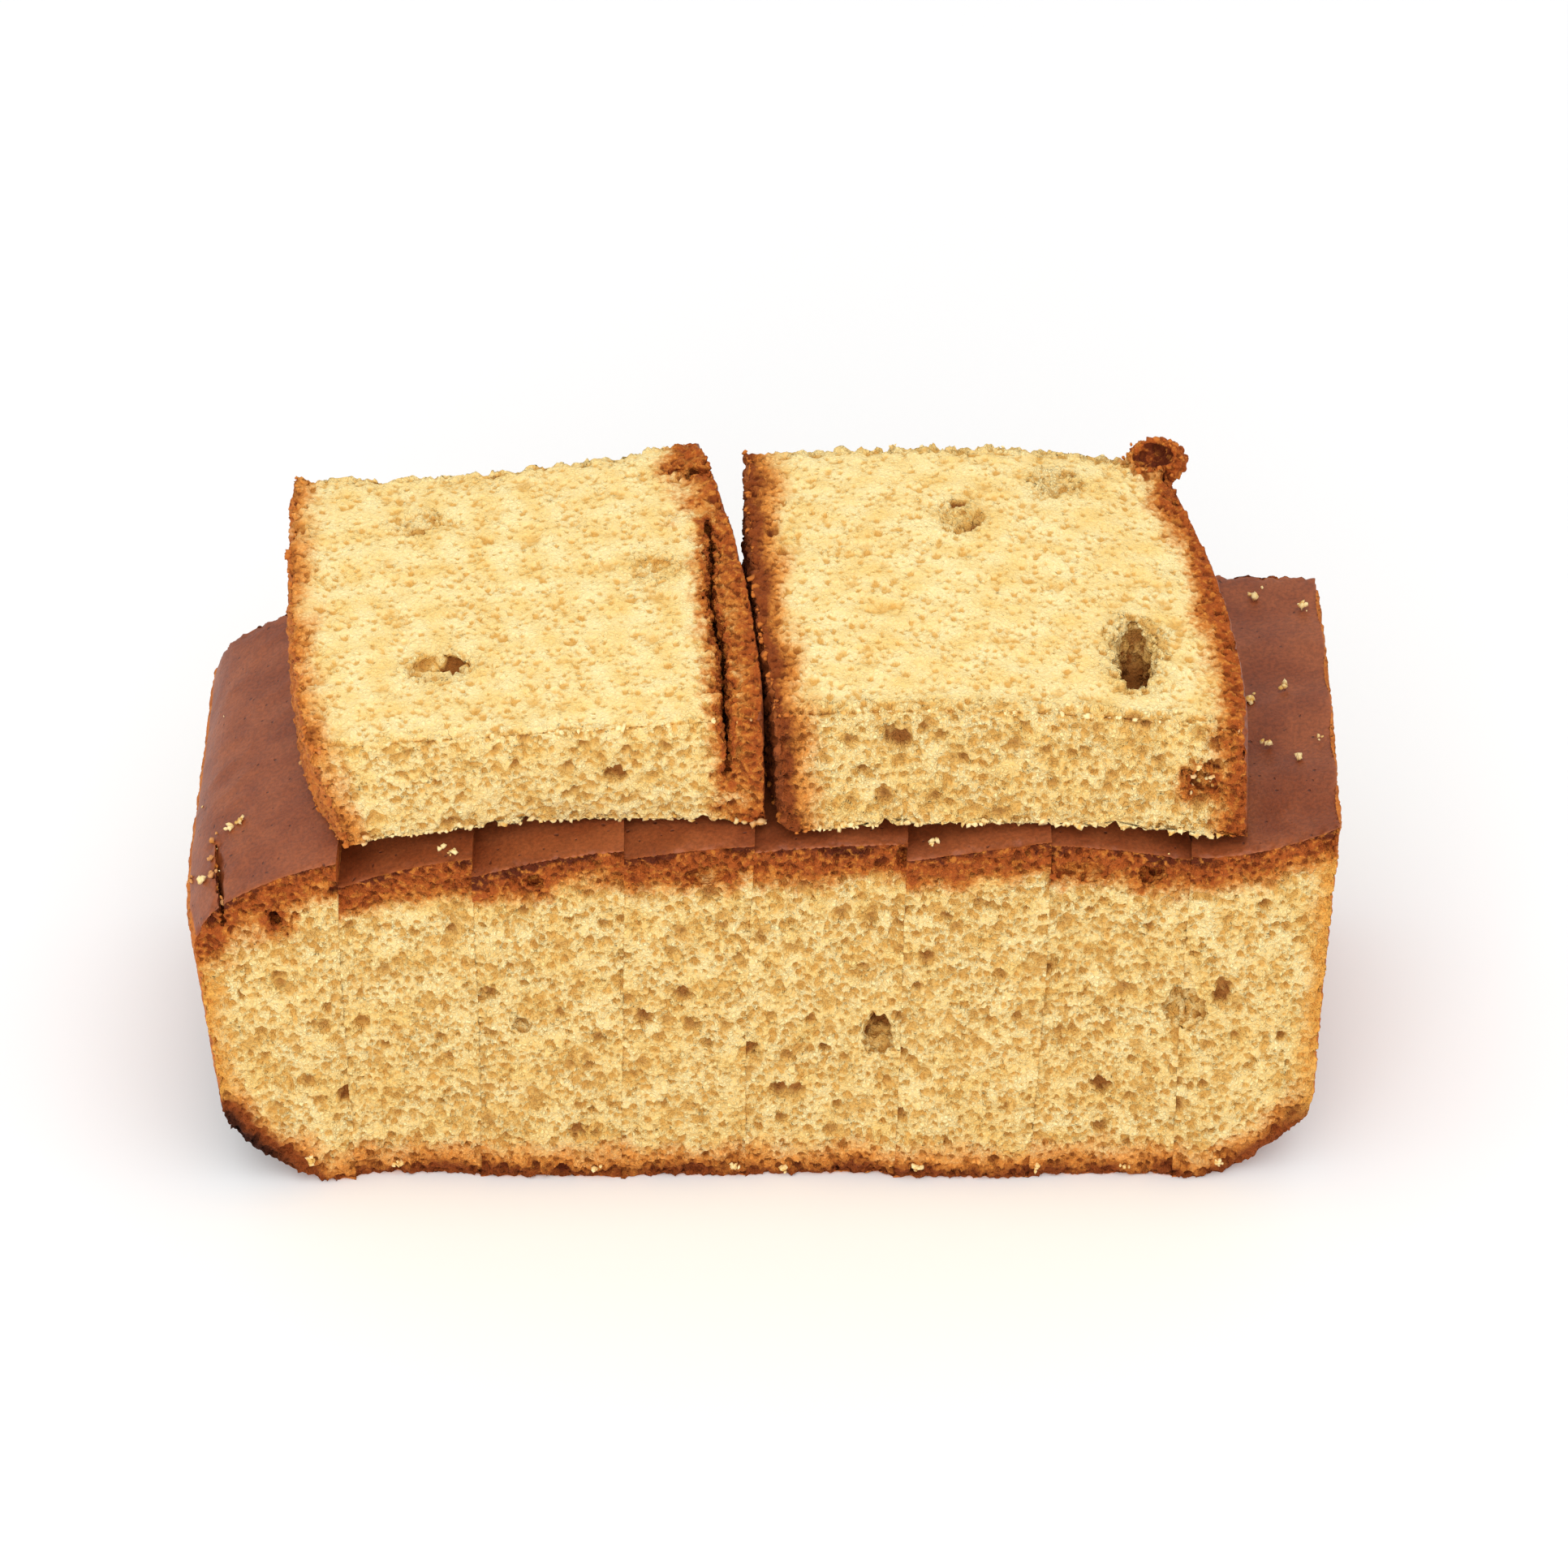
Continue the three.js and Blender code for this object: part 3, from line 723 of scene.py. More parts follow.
# %% Soften the cut edges
SOFTENING = 0.5
SOFTENING_ROUNDS = 5
ROUNDING_ROUNDS = 7
ROUNDED_WITHIN = 3.2 * MM
LONG_EDGE_WITHIN = 4.0 * MM
SOFT_KINDS = {OPEN_CRUMB, FINE_CRUMB, BASE, PAN_SIDE, CURL}


def smoothed(shell, verts, rounds):
    for _ in range(rounds):
        bmesh.ops.smooth_vert(
            shell, verts=verts, factor=SOFTENING, use_axis_x=True, use_axis_y=True, use_axis_z=True
        )


def kinds_round(vert, layer):
    return {face[layer] for face in vert.link_faces}


def loose_points(shell, layer):
    found = []
    for vert in shell.verts:
        kinds = kinds_round(vert, layer)
        if kinds & SOFT_KINDS and HIDDEN not in kinds:
            found.append(vert)
    return found


def round_off(shell, layer):
    """Round the long upper edges of a lying slice, and the bends of its top and of the skin."""
    front = min(vert.co.y for vert in shell.verts) + LONG_EDGE_WITHIN
    back = max(vert.co.y for vert in shell.verts) - LONG_EDGE_WITHIN
    flat = [vert for vert in shell.verts if kinds_round(vert, layer) in ({SKIN}, {FINE_CRUMB})]
    smoothed(shell, flat, ROUNDING_ROUNDS)
    rim = KDTree(len(shell.verts))
    for number, vert in enumerate(shell.verts):
        if {OPEN_CRUMB, FINE_CRUMB} <= kinds_round(vert, layer) and not front < vert.co.y < back:
            rim.insert(vert.co, number)
    rim.balance()
    near = []
    for vert in loose_points(shell, layer):
        gap = rim.find(vert.co)[2]
        if gap is not None and gap < ROUNDED_WITHIN and BASE not in kinds_round(vert, layer):
            near.append(vert)
    smoothed(shell, near, ROUNDING_ROUNDS)


print("cut edges are softened in", SOFTENING_ROUNDS, "rounds")

# %% [markdown]
# Now the crumb itself. Sponge is a foam, and a knife opens the bubbles that it meets, so a cut face is full
# of round pits of many sizes, with grains of crumb standing up between them. A noise texture gives lumps
# instead of pits, so each pit is set down on its own: a random point of the face, a random radius, and a
# bowl sunk along the face's own direction. A grain is the same bowl turned outwards. A KD-tree finds the
# points inside each quickly.

# %% Pits and grains
OUTLINE_UNEVEN = 0.30
OUTLINE_LENGTH_MM = 1.3
OUTLINE_RANGE = (0.5, 1.7)
DEEPEST_PIT_MM = 1.6
SWELL_WAVES = 9
SWELL_STRETCH = (0.6, 1.6)


def search_tree(points, chosen):
    tree = KDTree(len(chosen))
    for index in chosen:
        tree.insert(points[index], int(index))
    tree.balance()
    return tree


def bowls(points, tree, seats, radii, centres, dice):
    """Each point's depth, in millimetres, in bubbles whose centres lie under or over their seats."""
    depth = np.zeros(len(points))
    who = []
    bubble = []
    distance = []
    for number, seat in enumerate(seats):
        for _, index, gap in tree.find_range(seat, radii[number]):
            who.append(index)
            bubble.append(number)
            distance.append(gap)
    who = np.array(who, int)
    bubble = np.array(bubble, int)
    wobble = np.clip(1.0 + OUTLINE_UNEVEN * swell(points, OUTLINE_LENGTH_MM, dice), *OUTLINE_RANGE)
    ratio = np.array(distance) * wobble[who] / radii[bubble]
    inside = ratio < np.sqrt(1.0 - centres[bubble] ** 2)
    bowl = centres[bubble] + np.sqrt(np.clip(1.0 - ratio**2, 0.0, 1.0))
    np.maximum.at(depth, who, np.where(inside, radii[bubble] * bowl, 0.0))
    return np.minimum(depth, DEEPEST_PIT_MM)


def strewn(points, tree, hosts, weights, kind, dice):
    """Bowls of one kind at random places, where a heavier point gets more of them."""
    count = int(weights[hosts].sum() * kind.per_mm2)
    if count == 0:
        return np.zeros(len(points))
    seats = points[dice.choice(hosts, count, p=weights[hosts] / weights[hosts].sum())]
    radii = kind.radius * np.exp(kind.spread * dice.standard_normal(count))
    radii = np.clip(radii, kind.smallest, kind.largest)
    return bowls(points, tree, seats, radii, dice.uniform(*kind.sunk, count), dice)


def swell(points, length, dice):
    """A slow rise and fall, from waves that run in random directions."""
    total = np.zeros(len(points))
    for _ in range(SWELL_WAVES):
        way = dice.standard_normal(3)
        way = way / np.linalg.norm(way) * (2 * math.pi / length) * dice.uniform(*SWELL_STRETCH)
        total += np.sin(points @ way + dice.uniform(0, 2 * math.pi))
    return total / math.sqrt(SWELL_WAVES)


print("no pit is deeper than", DEEPEST_PIT_MM, "mm")

# %% [markdown]
# Pits and grains are listed by the kind of crumb: open on the fronts and backs, fine on the lying faces,
# tight and grainy in the crust. Lengths are in millimetres. A centre that is sunk by more than nothing
# makes a deep pit with a narrow mouth, and one that stands over the face makes a shallow dish. They crowd
# together in some patches and not in others.

# %% Pore sizes
Bowl = namedtuple("Bowl", "radius spread smallest largest sunk per_mm2")
Pit = namedtuple("Pit", "across down radius")
PORES = {
    "open": (
        Bowl(0.95, 0.35, 0.65, 1.9, (-0.80, 0.00), 0.050),
        Bowl(0.56, 0.25, 0.38, 0.95, (-0.60, 0.35), 0.45),
        Bowl(0.40, 0.20, 0.30, 0.55, (-0.40, 0.50), 0.80),
    ),
    "fine": (
        Bowl(2.20, 0.25, 1.40, 3.2, (-0.93, -0.82), 0.012),
        Bowl(0.52, 0.30, 0.36, 0.95, (-0.80, -0.20), 0.34),
        Bowl(0.38, 0.20, 0.30, 0.50, (-0.60, 0.20), 0.50),
    ),
    "crust": (
        Bowl(0.80, 0.30, 0.50, 1.3, (-0.60, 0.20), 0.06),
        Bowl(0.44, 0.25, 0.32, 0.75, (-0.50, 0.45), 0.90),
    ),
}
GRAINS = {
    "open": Bowl(0.55, 0.25, 0.40, 0.90, (-0.62, -0.32), 1.9),
    "fine": Bowl(0.48, 0.20, 0.38, 0.70, (-0.82, -0.62), 1.4),
    "crust": Bowl(0.55, 0.25, 0.40, 0.90, (-0.65, -0.35), 1.5),
}
CROWDING = 0.7
CROWDING_LENGTH_MM = 7.0
PITS_SEEN = (
    Pit(1580, 1062, 1.1),
    Pit(713, 1391, 1.1),
    Pit(907, 1412, 1.2),
    Pit(700, 945, 1.5),
    Pit(612, 950, 1.0),
    Pit(1090, 980, 1.7),
    Pit(1250, 920, 1.4),
    Pit(1145, 890, 1.3),
    Pit(1285, 1150, 1.1),
    Pit(1460, 1140, 1.1),
)
SEEN_PIT_SUNK = -0.25

seen_pits = {slice_name: [] for slice_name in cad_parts}
for pit in PITS_SEEN:
    slice_name, place, _ = seen_at(pit.across, pit.down)
    seen_pits[slice_name].append((np.array(place) * PER_MM, pit.radius))
print("pits seen on", [slice_name for slice_name, found in seen_pits.items() if found])

# %% [markdown]
# Edges of sponge crumble. A point beside an edge loses a little, in bites of several lengths that the waves
# above give, and the loss falls off softly with its distance to the edge. The lower edge of a lying slice
# is torn most.

# %% Worn edges
FAR_MM = 99.0
WEAR = ({"depth": 0.65, "length": 3.4}, {"depth": 0.35, "length": 1.2})
WEAR_REACH_MM = 1.3
RAGGED = ({"depth": 0.75, "length": 2.6}, {"depth": 0.40, "length": 1.0})
RAGGED_REACH_MM = 1.1


def gaps_to(points, asked, chosen):
    """The distance of each asked point to the nearest chosen point, and far away for the others."""
    gap = np.full(len(points), FAR_MM)
    seats = np.flatnonzero(chosen)
    if len(seats):
        tree = search_tree(points, seats)
        for index in np.flatnonzero(asked):
            gap[index] = tree.find(points[index])[2]
    return gap


def nearness(gap, reach):
    """One at no distance, and falling softly to nothing beyond the reach."""
    return np.exp(-((gap / reach) ** 2))


def worn_edges(points, rim_gap, scales, reach_mm, dice):
    """How much is gone beside an edge, in bites of several lengths."""
    worn = np.zeros(len(points))
    for scale in scales:
        worn += scale["depth"] * np.clip(swell(points, scale["length"], dice), 0.0, None)
    return worn * nearness(rim_gap, reach_mm)


def ragged_foot(points, touches, dice):
    """How far the lower edge of a lying slice is torn upwards."""
    shown = ~touches[HIDDEN] | touches[OPEN_CRUMB] | touches[BASE]
    lower = touches[HIDDEN] & shown
    return worn_edges(points, gaps_to(points, shown, lower), RAGGED, RAGGED_REACH_MM, dice)


print("edges are worn in bites of", [scale["length"] for scale in WEAR], "mm")

# %% [markdown]
# The knife took no sponge away, so the standing slices are drawn together again, and their fronts are
# brought level where they meet: a ray from beside the cut finds the neighbour's face, and each slice goes
# half the way. What is left of a cut is a thin line of painted shade, broken here and there.

# %% Close the cuts
LUMP_LENGTH_MM = 2.6
SEAM_CLOSE_MM = 0.26
SEAM_UNEVEN_MM = 0.02
SEAM_LEVEL_MM = 1.2
SEAM_LEVEL_WITHIN_MM = 2.8
SEAM_STEP_MM = 1.5
PAST_THE_SEAM_MM = 0.8
LEVEL_UNDER_SKIN_MM = (4.0, 8.0)
# a thin line of painted shade along each cut
SEAM_SHADE_MM = 0.16
SEAM_SHADE_REACH_MM = 0.25
SEAM_SHADE_LENGTH_MM = 4.0


def halves(points, axis):
    """Minus one for the points in the lower half of a slice along an axis, and one for the others."""
    return np.sign(points[:, axis] - (points[:, axis].min() + points[:, axis].max()) / 2)


def seam_shift(points, touches, dice):
    """The sideways move that brings two standing slices together."""
    opened = SEAM_UNEVEN_MM * np.clip(swell(points, LUMP_LENGTH_MM, dice), 0.0, None)
    return touches[HIDDEN] * halves(points, X) * (SEAM_CLOSE_MM - opened)


def seam_shade(points, seam_gap, dice):
    """Painted shade along each cut, as if it lay that far below its neighbours, broken up by chance."""
    broken = np.clip(swell(points, SEAM_SHADE_LENGTH_MM, dice), 0.0, 1.0)
    return SEAM_SHADE_MM * broken * nearness(seam_gap, SEAM_SHADE_REACH_MM)


def seam_levels(name, points, seam_gap, under_skin):
    """How far the crumb beside a cut moves along Y, so that two neighbours meet there without a step."""
    shift = np.zeros(len(points))
    sides = halves(points, X)
    facings = halves(points, Y)
    for index in np.flatnonzero(seam_gap < SEAM_LEVEL_WITHIN_MM):
        x, y, z = points[index]
        side = int(sides[index])
        facing = facings[index]
        neighbour = solid_trees[LOAF_SLICE + str(int(name[-1]) + side)]
        beyond = Vector((x + side * (seam_gap[index] + PAST_THE_SEAM_MM), facing * FAR_MM, z)) * MM
        met = neighbour.ray_cast(beyond, Vector((0, -facing, 0)))[0]
        if met is not None:
            step = np.clip(met.y * PER_MM - y, -SEAM_STEP_MM, SEAM_STEP_MM)
            shift[index] = step / 2 * math.exp(-((seam_gap[index] / SEAM_LEVEL_MM) ** 2))
    deep = (under_skin - LEVEL_UNDER_SKIN_MM[0]) / np.ptp(LEVEL_UNDER_SKIN_MM)
    return shift * np.clip(deep, 0.0, 1.0)


print("each side of a cut moves by", SEAM_CLOSE_MM, "mm")

# %% [markdown]
# The distances that the finishes read are measured from every point to the nearest face of each baked kind.
# A scorch is a darker spot of the base, and the last spot is not a scorch but painted shade on the left side
# of the right lying slice, which faces the gap between the lying slices. The curled scrap has a distance of
# its own.

# %% Baked distances
SCORCHES_AND_SHADE = (
    {"centre": (-76.0, -34.0, 8.0), "reach": (17.0, 90.0, 14.0), "strength": 0.95, "depth": 3.2},
    {"centre": (76.0, -34.0, 4.0), "reach": (16.0, 90.0, 12.0), "strength": 0.45, "depth": 3.0},
    # painted shade, not a scorch: the left side of the right lying slice, in the gap
    {"centre": (0.0, 0.0, 70.0), "reach": (14.0, 60.0, 24.0), "strength": 0.55, "depth": 1.2},
)
CURL_MIDDLE_MM = 5.0
CURL_SLOPE_MM = 2.0
CURL_DARK_WITHIN = 0.35


def distances(points, tree):
    if tree is None:
        return np.full(len(points), FAR_MM)
    return np.array([tree.find_nearest(Vector(point) * MM)[3] for point in points]) * PER_MM


def curl_browning(points):
    """A distance for the curled scrap: orange at its inner end, brown at the other and dark in its hollow."""
    place = (points - CURL_PLACE_MM) / CURL_RADII_MM
    sunk = np.clip((1.0 - np.linalg.norm(place, axis=1)) / CURL_DARK_WITHIN, 0.0, 1.0)
    return (CURL_MIDDLE_MM - CURL_SLOPE_MM * place[:, X]) * (1.0 - sunk)


def scorched_and_shaded(points, base_gap):
    total = np.zeros(len(points))
    for spot in SCORCHES_AND_SHADE:
        reach = np.linalg.norm((points - spot["centre"]) / spot["reach"], axis=1)
        near_base = nearness(base_gap, spot["depth"])
        total += spot["strength"] * np.clip(1.0 - reach**2, 0.0, 1.0) * near_base
    return np.clip(total, 0.0, 1.0)


print("scorched spots:", len(SCORCHES_AND_SHADE))

# %% [markdown]
# A mesh holds its points and faces in long columns. Reading a whole column into an array is far quicker
# than asking each point in turn, and a new column of named numbers is stored the same way. The crevice
# number is measured on such arrays: each point is compared with the middle of its neighbours.

# %% Read and store columns
CREVICE_ROUNDS = 4


def store(mesh, name, values):
    column = mesh.attributes.new(name, "FLOAT", "POINT")
    column.data.foreach_set("value", values.astype(np.float32))


def read_vectors(collection, name):
    flat = np.zeros(len(collection) * 3, np.float32)
    collection.foreach_get(name, flat)
    return flat.reshape(-1, 3).astype(float)


def point_kinds(mesh, kinds):
    """Which points touch each kind of face, and the area in square millimetres that each stands for."""
    corner_point = np.zeros(len(mesh.loops), np.int32)
    mesh.loops.foreach_get("vertex_index", corner_point)
    corner_kind = np.repeat(kinds, TRIANGLE)
    area = np.zeros(len(mesh.polygons))
    mesh.polygons.foreach_get("area", area)
    corner_area = np.repeat(area * PER_MM**2 / TRIANGLE, TRIANGLE)
    areas = np.bincount(corner_point, corner_area, len(mesh.vertices))
    touches = {}
    for kind in LONGEST_EDGE_MM:
        touches[kind] = np.bincount(corner_point, corner_kind == kind, len(mesh.vertices)) > 0
    return touches, areas


def crevices(mesh, points, normals):
    """How far each point lies below the middle of its neighbours, in millimetres."""
    ends = np.zeros(len(mesh.edges) * 2, np.int32)
    mesh.edges.foreach_get("vertices", ends)
    first, second = np.concatenate((ends.reshape(-1, 2), ends.reshape(-1, 2)[:, ::-1])).T
    count = np.bincount(first, minlength=len(points))
    middle = points
    for _ in range(CREVICE_ROUNDS):
        sums = [np.bincount(first, middle[second, axis], len(points)) for axis in (X, Y, Z)]
        middle = np.stack(sums, axis=1) / count[:, None]
    return np.einsum("ij,ij->i", middle - points, normals)


print("a crevice is measured over", CREVICE_ROUNDS, "rings of neighbours")

# %% [markdown]
# The steps so far shape a slice: copy the solid, name its faces, cut them coarsely, round off, cut them
# finely and soften. The search trees are taken first, from the clean faces of the solid.

# %% Shape one slice
FINISHES = (crumb, top_skin, pan_crust)
FINISH_OF_KIND = {SKIN: top_skin, BASE: pan_crust, PAN_SIDE: pan_crust}


def shaped_mesh(name):
    """The fine and softened mesh of one slice, its kinds of face, and search trees of its baked faces."""
    shell = copied_solid(name)
    hull = hull_round(shell)
    layer = name_faces(shell, hull, name)
    skin = faces_of_kind(shell, layer, SKIN)
    trees = {
        "under_skin": skin,
        "from_crack": crack_walls(shell, layer, skin),
        "over_base": faces_of_kind(shell, layer, BASE),
        "from_side": faces_of_kind(shell, layer, PAN_SIDE),
        "from_cut": faces_of_kind(shell, layer, OPEN_CRUMB, FINE_CRUMB, PAN_SIDE),
        "hull": hull,
    }
    rougher = LYING_ROUGHER if name in LYING_SLICES else 1.0
    cut_finer(shell, layer, rougher * FIRST_ROUGHER)
    round_off(shell, layer)
    cut_finer(shell, layer, rougher)
    smoothed(shell, loose_points(shell, layer), SOFTENING_ROUNDS)
    keep_sharp(shell, layer)
    kinds = np.array([face[layer] for face in shell.faces])
    for face in shell.faces:
        face.material_index = FINISHES.index(FINISH_OF_KIND.get(face[layer], crumb))
        face.smooth = True
    mesh = bpy.data.meshes.new("sponge_" + name)
    shell.to_mesh(mesh)
    shell.free()
    for finish in FINISHES:
        mesh.materials.append(finish)
    return mesh, kinds, trees


print("finishes of a slice:", [finish.name for finish in FINISHES])

# %% [markdown]
# Each point now gets the numbers that the finishes read. Some slices were browned more than others, so each
# may stretch or shift its distances, and all of them wander a little. A crack browns its walls. How open
# and how warm the crumb is varies from patch to patch.

# %% Numbers for the finishes
STANDING_CRUST = {"under_skin": (1.0, 0.0), "over_base": (0.85, -0.2), "from_side": (1.0, 0.0)}
CRUST_OF_SLICE = {
    LEFT_LYING: {"under_skin": (0.6, 3.2), "over_base": (1.0, 1.6), "from_side": (1.0, 0.0)},
    RIGHT_LYING: {"under_skin": (0.9, 1.9), "over_base": (1.1, -0.8), "from_side": (1.0, 0.0)},
}
BAND_WANDER_MM = {"under_skin": 0.9, "over_base": 0.8, "from_side": 0.6}
BAND_LENGTH_MM = 8.0
WARMTH_MIDDLE = 0.45
WARMTH_SPREAD = 0.40
WARMTH_LENGTH_MM = 6.0
CROWD_SPREAD = 0.14
CROWD_LENGTH_MM = 5.0
STANDING_OPENNESS = 0.85
OPENNESS_OF_SLICE = {LEFT_LYING: 0.60, RIGHT_LYING: 1.0}
FINE_OPENNESS = 0.12
OPENING_REACH_MM = 2.2
CRACK_STARTS_MM = 3.6
CRACK_SLOPE = 1.3
CURL_UNEVEN_MM = 0.8
HOLLOW_FROM_MM = 0.9
LYING_HOLLOW_FROM_MM = 2.0


def measured_slice(name, points, touches, trees, dice):
    """The numbers that the finishes read at each point."""
    numbers = {key: distances(points, tree) for key, tree in trees.items() if key != "hull"}
    # scorch, and painted shade on the left side of the right lying slice
    numbers["scorch_and_shade"] = scorched_and_shaded(points, numbers["over_base"])
    for key, (stretch, shift) in CRUST_OF_SLICE.get(name, STANDING_CRUST).items():
        wander = BAND_WANDER_MM[key] * swell(points, BAND_LENGTH_MM, dice)
        numbers[key] = numbers[key] * stretch + shift + wander
    uneven = CURL_UNEVEN_MM * swell(points, LUMP_LENGTH_MM, dice)
    cracked = CRACK_STARTS_MM + CRACK_SLOPE * numbers.pop("from_crack") + uneven
    numbers["under_skin"] = np.minimum(numbers["under_skin"], cracked)
    numbers["under_skin"] = np.where(touches[CURL], curl_browning(points) + uneven, numbers["under_skin"])
    start = LYING_HOLLOW_FROM_MM if name in LYING_SLICES else HOLLOW_FROM_MM
    numbers["hollow"] = np.clip(distances(points, trees["hull"]) - start, 0.0, None)
    numbers["hollow"][touches[HIDDEN] | touches[CURL]] = 0.0
    rim = touches[OPEN_CRUMB] & touches[FINE_CRUMB] & (numbers["hollow"] == 0.0)
    opening = nearness(gaps_to(points, touches[FINE_CRUMB], rim), OPENING_REACH_MM)
    opening = np.where(touches[OPEN_CRUMB], 1.0, opening)
    most = OPENNESS_OF_SLICE.get(name, STANDING_OPENNESS)
    crowd = 1.0 + CROWD_SPREAD * swell(points, CROWD_LENGTH_MM, dice)
    numbers["openness"] = (FINE_OPENNESS + (most - FINE_OPENNESS) * opening) * crowd
    warm = WARMTH_MIDDLE + WARMTH_SPREAD * swell(points, WARMTH_LENGTH_MM, dice)
    numbers["warmth"] = np.clip(warm, 0.0, 1.0)
    return numbers


print("slices with a crust of their own:", sorted(CRUST_OF_SLICE))

# %% [markdown]
# Relief is the sum of several small moves of each point along its own direction: pits go in, grains come
# out, lumps and a slow swell keep large faces from looking flat, and the edges of the crumb are worn.
# Beside a cut the crumb moves only forward or back, so neighbours still meet. The skin is chipped where it
# was cut, and at one end of the bar it has long, low ripples.

# %% Relief
SEAM_FADE_MM = 1.0
LYING_FADE_MM = 0.3
PAN_RELIEF = 0.35
LYING_PAN_RELIEF = 1.2
SWELL_MM = 0.22
SWELL_LENGTH_MM = 9.0
LUMP_RELIEF_MM = 0.16
SKIN_SWELL_MM = 0.10
RIPPLE_MM = 0.32
RIPPLE_LENGTH_MM = 15.0
RIPPLE_FROM_X_MM = 52.0
RIPPLE_FULL_AFTER_MM = 12.0
CRUST_REACH_MM = 5.0
OPEN_ENOUGH = 0.5
SKIN_CHIP_MM = 0.35
SKIN_CHIP_LENGTH_MM = 1.8
SKIN_CHIP_REACH_MM = 0.9


def rippled(points):
    amount = np.clip((points[:, X] - RIPPLE_FROM_X_MM) / RIPPLE_FULL_AFTER_MM, 0.0, 1.0)
    return RIPPLE_MM * amount * (1.0 + np.sin(points[:, Y] * 2 * math.pi / RIPPLE_LENGTH_MM))


def pitted(points, hosts, weights, marks, dice):
    """The depth of each point's pit and the height of its grain, in millimetres."""
    pit = np.zeros(len(points))
    grain = np.zeros(len(points))
    for name, chosen in hosts.items():
        seats = np.flatnonzero(chosen)
        if not len(seats):
            continue
        tree = search_tree(points, seats)
        for kind in PORES[name]:
            pit = np.maximum(pit, strewn(points, tree, seats, weights, kind, dice))
        grain = np.maximum(grain, strewn(points, tree, seats, weights, GRAINS[name], dice))
        if name == "open" and marks:
            places, radii = (np.array(column) for column in zip(*marks))
            sunk = np.full(len(marks), SEEN_PIT_SUNK)
            pit = np.maximum(pit, bowls(points, tree, places, radii, sunk, dice))
    return pit, grain


def crumb_relief(name, points, touches, areas, numbers, dice):
    """How far each point sinks, and the depth of its pit alone."""
    lying = name in LYING_SLICES
    crumbly = np.any([touches[kind] for kind in SOFT_KINDS], axis=0) & ~touches[SKIN]
    baked = np.minimum.reduce([numbers["under_skin"], numbers["over_base"], numbers["from_side"]])
    crusty = crumbly & ((baked < CRUST_REACH_MM) | touches[BASE] | touches[PAN_SIDE])
    opened = numbers["openness"] > OPEN_ENOUGH
    hosts = {"crust": crusty, "open": crumbly & ~crusty & opened, "fine": crumbly & ~crusty & ~opened}
    weights = areas * np.exp(CROWDING * swell(points, CROWDING_LENGTH_MM, dice))
    pit, grain = pitted(points, hosts, weights, seen_pits[name], dice)
    fade = gaps_to(points, crumbly, touches[HIDDEN]) / (LYING_FADE_MM if lying else SEAM_FADE_MM)
    fade = np.clip(fade, 0.0, 1.0)
    if not lying:
        fade[touches[OPEN_CRUMB]] = 1.0
    fade[touches[BASE] | touches[PAN_SIDE]] *= LYING_PAN_RELIEF if lying else PAN_RELIEF
    pit *= fade
    several = np.sum(list(touches.values()), axis=0) > 1
    rim = crumbly & several & ~touches[HIDDEN]
    worn = worn_edges(points, gaps_to(points, crumbly, rim), WEAR, WEAR_REACH_MM, dice) * fade
    lumps = LUMP_RELIEF_MM * swell(points, LUMP_LENGTH_MM, dice) * numbers["openness"] * crumbly * fade
    slow = np.abs(swell(points, SWELL_LENGTH_MM, dice))
    slow *= np.where(crumbly, SWELL_MM * fade, np.where(touches[HIDDEN], 0.0, SKIN_SWELL_MM))
    ripple = 0.0 if lying else rippled(points) * touches[SKIN]
    cut_skin = touches[SKIN] & (touches[OPEN_CRUMB] | touches[FINE_CRUMB])
    chips = nearness(gaps_to(points, touches[SKIN], cut_skin), SKIN_CHIP_REACH_MM)
    chips *= SKIN_CHIP_MM * np.clip(swell(points, SKIN_CHIP_LENGTH_MM, dice), 0.0, None)
    return pit - grain * fade + lumps + slow + worn + ripple + chips, pit


print("the crumb swells by about", SWELL_MM, "mm, and its lumps by", LUMP_RELIEF_MM, "mm")

# %% [markdown]
# All the steps come together for one slice. Its mesh goes to an object at the origin, which stands for the
# solid and rides on the cake's only body. The finished edges are kept, because crumbs hang from them.

# %% Build the slices
FIRST_SEED = 41


def edge_points(points, normals, touches, numbers):
    """The points along each edge where crumbs hang, with their directions and distances to the crust."""
    depth = points[:, Y]
    within = LONG_EDGE_WITHIN * PER_MM
    outer = (depth < depth.min() + within) | (depth > depth.max() - within)
    edges = {
        "lower": touches[OPEN_CRUMB] & touches[HIDDEN],
        "base": touches[BASE] & (touches[FINE_CRUMB] | touches[HIDDEN]),
        "upper": touches[OPEN_CRUMB] & touches[FINE_CRUMB] & outer,
    }
    baked = np.minimum(numbers["under_skin"], numbers["over_base"])
    return {key: (points[chosen], normals[chosen], baked[chosen]) for key, chosen in edges.items()}


